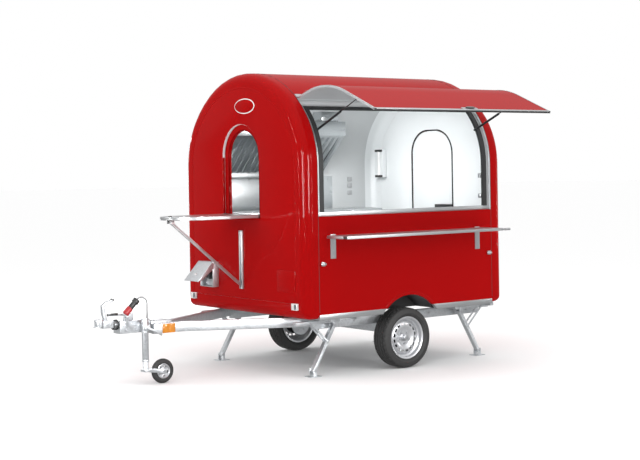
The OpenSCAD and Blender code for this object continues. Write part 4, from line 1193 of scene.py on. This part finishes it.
class TRAILER_OT_drawbar(bpy.types.Operator):
    """Drawbar, overrun unit, coupling, levers, reflectors, plug and lead"""
    bl_idname = "trailer.drawbar"
    bl_label = "Drawbar and coupling"

    def execute(self, context):
        for node in ("drawbar", "overrun_housing", "coupling", "coupling_handle", "handbrake_lever"):
            dress(node, "galvanised", "galvanised", 0.004 if node in ("drawbar", "coupling") else 0.003, 32, None, 3)
        dress("drawbar_reflectors", "lamp_amber", "lens_amber", 0.003, 32, None, 3)

        split = part_box("lead_plug")[1].x - 0.064

        def tint(face):
            along = (face.calc_center_median() - AXLE).x
            return 1 if along > split else 0

        plug = dress("lead_plug", "black_plastic", ["black_plastic", "plug_red"], 0.004, 32, tint, 3)
        # The lead: up from the jockey clamp, over in one bend and into its parked plug
        thick, bend, height = 0.015, 0.060, 0.550
        entry = Vector((2.551 - 0.166 * cos(pi / 4), 0.075, 0.648 + 0.166 * cos(pi / 4)))
        top = entry - Vector((0.002, 0, -0.002)) / sqrt(2)
        hub = top - Vector((bend, 0, bend)) / sqrt(2)
        rise = hub.z - height
        route = [Vector((hub.x - bend, 0.075, height + rise * k / 10)) for k in range(11)]
        route += [hub + bend * Vector((-cos(a), 0, sin(a))) for a in (radians(135) * k / 16 for k in range(1, 17))]
        end = entry + Vector((0.050, 0, -0.050))
        route += [end]
        bm = bmesh.new()
        bar = Bar(bm, round_profile(route[0], (0, 0, 1), thick / 2, 16))
        bar.go((0, 0, rise)).turn(hub, Y, radians(135), 24).go(end - top).end()
        tidy(bm)
        lead = put("plug_lead_finish", bm, "body", "grey_rubber", "lead_grey", ("plug_lead",), 50)
        path = [p + AXLE for p in route]
        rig.cord(lead, exit=path[0], length=sum((b - a).length for a, b in zip(path, path[1:])), diameter=thick,
                far_end="plug", stiffness="stiff", lay="hanging", path=path, with_pieces=[plug])
        bm = bmesh.new()
        rod(bm, route[0] - Z * 0.0005, route[0] + Z * 0.030, 0.0125, 28, 0.0085, 0.002)
        put("lead_gland", bm, "body", "black_plastic", "knob_black")
        bm = bmesh.new()
        for side in (1, -1):
            y = side * 0.1475
            for x0, x1 in ((2.084, 2.142), (2.148, 2.206)):
                block(bm, (x0, y - 0.001, 0.460), (x1, y + 0.0015 * side, 0.532), 0.0015)
        put("reflector_cells", bm, "body", "lamp_amber", "lens_amber")
        # Rubber bellows between the housing and the coupling
        place = AXLE_PLACE @ Matrix.Translation((2.600, 0, 0.550)) @ TO_FRONT
        profile = [(0.030, 0.0)]
        for k in range(5):
            profile += [(0.047 - 0.001 * k, 0.003 + 0.0095 * k), (0.037, 0.0078 + 0.0095 * k)]
        profile += [(0.030, 0.050)]
        turned_piece("coupling_bellows", profile, place, 40, "body", "rubber", "black_rubber", sharp=60)
        # Bolts through the housing and the drawbar's end
        bm = bmesh.new()
        for x in (2.345, 2.440, 2.535):
            for side in (1, -1):
                hex_bolt(bm, (x, side * 0.062, 0.500), (0, side, 0), 0.0095, 0.006)
        for x in (2.12, 2.20, 2.27):
            for side in (1, -1):
                hex_bolt(bm, (x, side * 0.110, 0.540), (0, 0, 1), 0.009, 0.006)
        for x, y in ((2.672, 0.035), (2.706, 0.035)):
            for side in (1, -1):
                hex_bolt(bm, (x, side * y, 0.560), (0, side, 0), 0.008, 0.006)
        hex_bolt(bm, (2.381, 0.169, 0.512), (0, 1, 0), 0.008, 0.008)
        for side in (1, -1):
            for x in (0.97, 1.05):
                hex_bolt(bm, (x, side * (0.680 - 0.54 * (x - 0.93)), 0.540), (0, 0, 1), 0.010, 0.006)
        put("drawbar_bolts", bm, "body", "galvanised", "bolt_zinc")
        # Grip of the brake lever and lip of the coupling
        bm = bmesh.new()
        rod(bm, (2.590, 0, 0.642), (2.694, 0, 0.642), 0.0130, 24, 0.0115, 0.003)
        rod(bm, (2.640, -0.022, 0.775), (2.640, 0.022, 0.775), 0.0095, 20, None, 0.002)
        put("lever_grip", bm, "body", "black_plastic", "knob_black")
        bm = bmesh.new()
        for k in range(2):
            z = 0.5415 + 0.052 * k
            rod(bm, (2.784, 0, z), (2.784, 0, z + 0.007), 0.0445 - 0.004 * k, 40, None, 0.002)
        put("coupling_rings", bm, "body", "galvanised", "galvanised")
        # Brake rod and cable clips under the drawbar
        bm = bmesh.new()
        rod(bm, (0.20, 0, 0.440), (2.34, 0, 0.490), 0.006, 16)
        for x in (0.62, 1.2, 1.8):
            z = 0.440 + 0.0234 * (x - 0.20)
            block(bm, (x - 0.010, -0.016, z - 0.016), (x + 0.010, 0.016, z + 0.016), 0.004)
        put("brake_rod", bm, "body", "galvanised", "galvanised")
        return {"FINISHED"}


class TRAILER_OT_chassis(bpy.types.Operator):
    """Chassis beams, crossbars, axle and the four corner steadies"""
    bl_idname = "trailer.chassis"
    bl_label = "Chassis and steadies"

    def execute(self, context):
        for node in ("chassis_beams", "crossbars", "axle", "steady_mounts"):
            dress(node, "galvanised", "galvanised", 0.003, 32, None, 3)
        for end in ("front", "rear"):
            for side in ("left", "right"):
                dress(f"steady_leg_{end}_{side}", "galvanised", "galvanised", 0.002)
                dress(f"steady_brace_{end}_{side}", "galvanised", "galvanised", 0.0012)
                bm = bmesh.new()
                lo, hi = part_box(f"steady_leg_{end}_{side}")
                y = (lo.y + hi.y) / 2
                out = 1 if end == "front" else -1
                foot_x = out * ((0.750 if end == "front" else 0.850) + 0.240)
                for k in (1, -1):
                    hex_bolt(bm, (foot_x, y + k * 0.032, 0.055), (0, k, 0), 0.010, 0.006)
                    rod(bm, (foot_x + k * 0.045, y + 0.036, 0.0055), (foot_x + k * 0.045, y + 0.036, 0.0075), 0.006, 16)
                    rod(bm, (foot_x + k * 0.045, y - 0.036, 0.0055), (foot_x + k * 0.045, y - 0.036, 0.0075), 0.006, 16)
                put(f"steady_foot_bolts_{end}_{side}", bm, f"{end}_{side}_leg", "galvanised", "bolt_zinc")
        bm = bmesh.new()
        for sx, px in ((1, 0.750), (-1, 0.850)):
            for sy in (1, -1):
                for k in (1, -1):
                    hex_bolt(bm, (sx * px, sy * 0.765 + k * 0.033, 0.458), (0, k, 0), 0.012, 0.007)
                # Threaded spindle with its hexagon end, inside the channel
                end_x = sx * (px + (0.445 if sx > 0 else 0.380))
                rod(bm, (end_x - 0.002 * sx, sy * 0.765, 0.497), (end_x + 0.026 * sx, sy * 0.765, 0.497), 0.011, 6)
        for side in (1, -1):
            for x in (-1.0, -0.5, 0.45, 0.80):
                hex_bolt(bm, (x, side * 0.705, 0.470), (0, side, 0), 0.009, 0.006)
        put("chassis_bolts", bm, "body", "galvanised", "bolt_zinc")
        # Bolts of the brake plates at the hubs
        bm = bmesh.new()
        for side in (1, -1):
            for k in range(6):
                a = 2 * pi * k / 6
                hex_bolt(bm, (0.075 * cos(a), side * 0.7485, WHEEL_Z + 0.075 * sin(a)), (0, -side, 0), 0.007, 0.005)
        put("brake_bolts", bm, "body", "galvanised", "bolt_zinc")
        return {"FINISHED"}


class TRAILER_OT_lamps(bpy.types.Operator):
    """Front marker lamps, rear lamps, power inlet and its lid"""
    bl_idname = "trailer.lamps"
    bl_label = "Lamps and inlet"

    def execute(self, context):
        dress("marker_lamps", "lamp_white", "badge_white", 0.003, 32, None, 3)
        dress("rear_lamps", "lamp_red", "lens_red", 0.004, 32, None, 3)
        lenses, bulbs = bmesh.new(), bmesh.new()
        for side in (1, -1):
            for k in (-1, 1):
                y = side * 0.850 + k * 0.0205
                block(bulbs if k > 0 else lenses, (FACE + 0.0225, y - 0.0175, 0.642),
                      (FACE + 0.0262, y + 0.0175, 0.690), 0.0015)
        put("marker_lenses", lenses, "body", "lamp_white", "lens_clear")
        put("marker_bulbs", bulbs, "body", "lamp_white", "socket_grey")
        bm = bmesh.new()
        amber = bmesh.new()
        back = -FACE - 0.030
        for side in (1, -1):
            block(bm, (back - 0.002, side * 0.760 - 0.056, 0.645), (back + 0.002, side * 0.760 - 0.010, 0.735), 0.002)
            block(amber, (back - 0.002, side * 0.760 - 0.006, 0.645),
                  (back + 0.002, side * 0.760 + 0.056, 0.735), 0.002)
        put("rear_lenses_red", bm, "body", "lamp_red", "lens_red")
        put("rear_lenses_amber", amber, "body", "lamp_amber", "lens_amber")
        # Reflector under the rear door, between the lamps
        boxed("rear_reflector", (-FACE - 0.008, -0.500, 0.645), (-FACE + 0.001, -0.360, 0.735), 0.003, 2,
              "body", "lamp_red", "lens_red")

        dress("inlet_box", "galvanised", "galvanised", 0.002)
        dress("inlet_lid", "galvanised", "galvanised", 0.0012)
        lo, hi = part_box("inlet_box")
        y, z = (lo.y + hi.y) / 2, (lo.z + hi.z) / 2
        bm = bmesh.new()
        rod(bm, (FACE + 0.005, y, z), (FACE + 0.040, y, z), 0.052, 40, 0.050, 0.004)
        rod(bm, (FACE + 0.038, y, z), (FACE + 0.060, y, z), 0.040, 40, None, 0.004)
        put("inlet_socket", bm, "body", "black_plastic", "socket_dark")
        bm = bmesh.new()
        for k in (-1, 1):
            hex_bolt(bm, (lo.x + 0.0055, y + k * 0.092, z + 0.095), (1, 0, 0), 0.005, 0.003)
            hex_bolt(bm, (lo.x + 0.0055, y + k * 0.092, z - 0.095), (1, 0, 0), 0.005, 0.003)
        rod(bm, (hi.x + 0.008, lo.y - 0.004, hi.z), (hi.x + 0.008, hi.y + 0.004, hi.z), 0.0042, 16)
        put("inlet_hinge", bm, "body", "galvanised", "bolt_zinc")
        # Latch on the lid
        tilt = radians(43)
        along = Vector((sin(tilt), 0, -cos(tilt)))
        out = Vector((cos(tilt), 0, sin(tilt)))
        base = Vector((FACE + 0.078, y, 1.020)) + along * 0.165
        bm = bmesh.new()
        rod(bm, base, base + out * 0.010, 0.013, 24, 0.011, 0.002)
        bar = Bar(bm, round_profile(base + out * 0.008 - Y * 0.012, out, 0.0035, 10))
        bar.go(out * 0.008).end()
        put("lid_latch", bm, "inlet_cover", "galvanised", "badge_white")
        return {"FINISHED"}


class TRAILER_OT_kitchen(bpy.types.Operator):
    """Extraction hood, worktops, sink, wall sheets and the small fittings inside"""
    bl_idname = "trailer.kitchen"
    bl_label = "Kitchen"

    def execute(self, context):
        dress("extraction_hood", "stainless", "hood_steel", 0.0015)
        dress("cooking_bench", "stainless", "stainless", 0.003)
        dress("serving_counter", "stainless", "stainless", 0.003)
        dress("wall_unit", "white_plastic", "white_lining", 0.004, 32, None, 3)
        # Sheet on the far wall behind the bench
        boxed("wall_sheet", (-0.62, -HALF + 0.030, 1.484), (1.055, -HALF + 0.033, 1.830), 0.0008, 2,
              "body", "stainless", "stainless")
        # Grease filters: slats across the slope of the hood
        bm = bmesh.new()
        low, high = Vector((0, -0.898, 1.8945)), Vector((0, -0.560, 2.2455))
        slope = (high - low).normalized()
        out = Vector((0, slope.z, -slope.y))
        n = 19
        for k in range(n):
            x = -0.430 + 1.36 * (k + 0.5) / n
            base, crest = low + out * 0.004, low + out * 0.020
            bar = Bar(bm, [(x - 0.026, base.y, base.z), (x + 0.026, base.y, base.z), (x + 0.015, crest.y, crest.z),
                           (x - 0.015, crest.y, crest.z)])
            bar.go(high - low).end()
        tidy(bm)
        put("grease_filters", bm, "body", "stainless", "hood_steel", sharp=20)
        boxed("hood_gutter", (-0.445, -0.940, 1.825), (0.950, -0.885, 1.885), 0.004, 2,
              "body", "stainless", "stainless")
        # Duct above the hood
        boxed("hood_duct", (-0.380, -0.690, 2.396), (-0.160, -0.540, 2.505), 0.004, 2,
              "body", "stainless", "hood_steel")
        # Sink bowl rim and tap on the bench; the bowl is a flat dark grey sheet, painted shade in place of a hollow
        boxed("sink_rim", (-0.560, -0.860, 1.4795), (-0.160, -0.540, 1.4835), 0.0018, 2,
              "body", "stainless", "stainless")
        # Flat dark grey sheet inside the rim: painted shade where the bowl's hollow would be
        boxed("sink_hollow", (-0.535, -0.835, 1.4825), (-0.185, -0.565, 1.4845), 0.0008, 2,
              "body", "black_plastic", "socket_grey")
        bm = bmesh.new()
        bar = Bar(bm, round_profile((-0.360, -0.900, 1.480), (0, 0, 1), 0.011))
        bar.go((0, 0, 0.20)).turn((-0.360, -0.850, 1.680), X, -pi, 12).go((0, 0, -0.03)).end()
        tidy(bm)
        rod(bm, (-0.360, -0.900, 1.480), (-0.360, -0.900, 1.505), 0.022, 28, 0.018, 0.003)
        rod(bm, (-0.340, -0.900, 1.520), (-0.295, -0.900, 1.545), 0.006, 16, 0.005)
        put("sink_tap", bm, "body", "stainless", "bolt_zinc")
        # Socket strip on the far wall
        bm = bmesh.new()
        for z in (1.64, 1.72, 1.79):
            block(bm, (-0.890, -HALF + 0.030, z - 0.024), (-0.830, -HALF + 0.040, z + 0.024), 0.004)
        put("wall_sockets", bm, "body", "white_plastic", "lead_grey")
        # Clips and tube of the wall lamp
        lo, hi = part_box("wall_unit")
        bm = bmesh.new()
        for z in (lo.z + 0.015, hi.z - 0.015):
            block(bm, (lo.x - 0.001, lo.y + 0.004, z - 0.013), (hi.x + 0.016, hi.y - 0.004, z + 0.013), 0.004)
        put("lamp_clips", bm, "body", "black_plastic", "knob_black")
        bm = bmesh.new()
        middle = (lo.y + hi.y) / 2
        rod(bm, (hi.x + 0.004, middle, lo.z + 0.025), (hi.x + 0.004, middle, hi.z - 0.025), 0.016, 28)
        put("lamp_tube", bm, "body", "white_plastic", "badge_white")
        # Black box on a small shelf in the rear corner
        boxed("corner_box", (-1.185, 0.150, 1.472), (-1.100, 0.330, 1.518), 0.004, 2,
              "body", "black_plastic", "black_plastic")
        bm = bmesh.new()
        block(bm, (-1.2065, 0.120, 1.440), (-1.080, 0.640, 1.474), 0.003)
        for y in (0.135, 0.600):
            block(bm, (-1.2065, y, 1.330), (-1.110, y + 0.020, 1.442), 0.002)
        put("corner_shelf", bm, "body", "stainless", "stainless")
        return {"FINISHED"}


class TRAILER_OT_stage(bpy.types.Operator):
    """Studio floor, lights, world and camera"""
    bl_idname = "trailer.stage"
    bl_label = "Studio"

    def execute(self, context):
        s = settings("stage")

        def set_piece(name, bm, **look):
            mesh = bpy.data.meshes.new(name)
            bm.to_mesh(mesh)
            bm.free()
            g = Graph(name)
            rough = 0.9 + 0.1 * g.noise(g.place(), 2.0)
            mesh.materials.append(g.surface(Roughness=rough, Specular_IOR_Level=0.0, **look))
            piece = bpy.data.objects.new(name, mesh)
            context.scene.collection.objects.link(piece)
            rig.stage(piece)
            return piece

        bm = bmesh.new()
        bmesh.ops.create_grid(bm, x_segments=2, y_segments=2, size=150, matrix=Matrix.Translation((0, 0, -0.0005)))
        floor = set_piece("studio_floor", bm, Base_Color=tuple(s.floor))
        floor.visible_glossy = False

        # White surround that only shows as background, so the light can be weaker near the horizon
        bm = bmesh.new()
        bmesh.ops.create_icosphere(bm, subdivisions=4, radius=140)
        bmesh.ops.reverse_faces(bm, faces=bm.faces[:])
        surround = set_piece("studio_surround", bm, Base_Color=(0, 0, 0), Emission_Color=(1, 1, 1),
                             Emission_Strength=1.0)
        surround.visible_diffuse = surround.visible_glossy = surround.visible_shadow = False
        surround.visible_transmission = surround.visible_volume_scatter = False

        world = bpy.data.worlds.new("studio")
        world.use_nodes = True
        nodes, links = world.node_tree.nodes, world.node_tree.links
        at, height, ramp = (nodes.new("ShaderNode" + kind) for kind in ("TexCoord", "SeparateXYZ", "ValToRGB"))
        links.new(at.outputs["Generated"], height.inputs[0])
        links.new(height.outputs["Z"], ramp.inputs[0])
        links.new(ramp.outputs[0], nodes["Background"].inputs[0])
        for element, (place, grey) in zip(ramp.color_ramp.elements, ((0.0, 0.38), (0.75, 1.0))):
            element.position, element.color = place, (grey, grey, grey, 1)
        nodes["Background"].inputs[1].default_value = 1.15
        context.scene.world = world
        context.scene.view_settings.view_transform = "Standard"

        def soft_box(name, place, target, width, height, power, seen=True, lights=True):
            light = bpy.data.lights.new(name, "AREA")
            light.shape = "RECTANGLE"
            light.size, light.size_y, light.energy = width, height, power
            lamp = bpy.data.objects.new(name, light)
            lamp.visible_camera = False
            lamp.visible_glossy = seen
            lamp.visible_diffuse = lights
            lamp.matrix_world = AXLE_PLACE @ Matrix.Translation(place) @ turned_to(Vector(place) - Vector(target))
            context.scene.collection.objects.link(lamp)

        soft_box("top_light", (1.0, 1.5, 6.0), (0, 0.3, 1.2), 5.0, 4.0, 80, False)
        soft_box("side_strip", (-2.2, 7.5, 2.6), (0, 0.6, 1.4), 0.16, 4.0, 120)
        soft_box("corner_strip", (6.5, 4.6, 2.4), (0.9, 0.6, 1.4), 0.13, 3.6, 85)
        soft_box("front_strip", (7.5, -3.2, 2.6), (1.2, -0.4, 1.5), 0.16, 3.6, 95)
        soft_box("rear_strip", (-7.5, 2.6, 1.5), (-1.1, 0.4, 1.5), 0.14, 2.2, 45)
        soft_box("far_strip", (-1.8, -7.5, 1.5), (0, -0.6, 1.5), 0.14, 2.2, 45)
        # Panels that only show as highlights on the rounded edges
        for name, place, width, height, power in (
                ("gloss_front", (7.4, 3.1, 2.3), 1.5, 2.4, 500), ("gloss_side", (1.6, 7.6, 2.3), 1.5, 2.4, 500)):
            soft_box(name, place, (0, 0, 1.7), width, height, power, True, False)
        soft_box("cabin_light", (0.20, 0.05, 2.44), (-0.25, -0.12, 1.2), 0.9, 0.5, 40, False)

        camera = bpy.data.cameras.new("camera")
        camera.lens, camera.shift_y, camera.clip_end = 77.306, -0.0786406, 200
        viewer = bpy.data.objects.new("camera", camera)
        azimuth, height, roll = radians(52.5539), radians(0.4907), radians(-0.9649)
        turn = (Matrix.Rotation(azimuth + pi / 2, 4, "Z") @ Matrix.Rotation(pi / 2 - height, 4, "X")
                @ Matrix.Rotation(roll, 4, "Z"))
        place = Vector((8.5885, 10.8374, 1.9176)) * (s.distance / 13.83) + AXLE
        viewer.matrix_world = Matrix.Translation(place) @ turn
        context.scene.collection.objects.link(viewer)
        context.scene.camera = viewer
        return {"FINISHED"}


OPERATORS = (TRAILER_OT_stage, TRAILER_OT_body, TRAILER_OT_badge, TRAILER_OT_serving, TRAILER_OT_canopy,
             TRAILER_OT_window, TRAILER_OT_door, TRAILER_OT_shelf, TRAILER_OT_wheels, TRAILER_OT_jockey,
             TRAILER_OT_drawbar, TRAILER_OT_chassis, TRAILER_OT_lamps, TRAILER_OT_kitchen)


class TRAILER_PT_panel(bpy.types.Panel):
    """Pieces and finishes of the catering trailer"""
    bl_idname = "TRAILER_PT_panel"
    bl_label = "Catering Trailer"
    bl_space_type = "VIEW_3D"
    bl_region_type = "UI"
    bl_category = "Trailer"

    def draw(self, context):
        for name, group in SETTINGS:
            box = self.layout.box()
            for key in group.__annotations__:
                box.prop(settings(name), key)
        for operator in OPERATORS:
            self.layout.operator(operator.bl_idname)


def register():
    for name, group in SETTINGS:
        bpy.utils.register_class(group)
        setattr(bpy.types.Scene, "trailer_" + name, PointerProperty(type=group))
    for cls in OPERATORS + (TRAILER_PT_panel,):
        bpy.utils.register_class(cls)


def unregister():
    for cls in reversed(OPERATORS + (TRAILER_PT_panel,)):
        bpy.utils.unregister_class(cls)
    for name, group in reversed(SETTINGS):
        delattr(bpy.types.Scene, "trailer_" + name)
        bpy.utils.unregister_class(group)


def main():
    register()
    for operator in OPERATORS:
        getattr(bpy.ops.trailer, operator.bl_idname.split(".")[1])()
    lo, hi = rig.bounds()
    with open("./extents.json", "w") as out:
        json.dump({"cad": [list(map(float, c)) for c in CAD_BOX], "visual": [list(map(float, lo)), list(map(float, hi))]}, out)


if __name__ == "__main__":
    main()
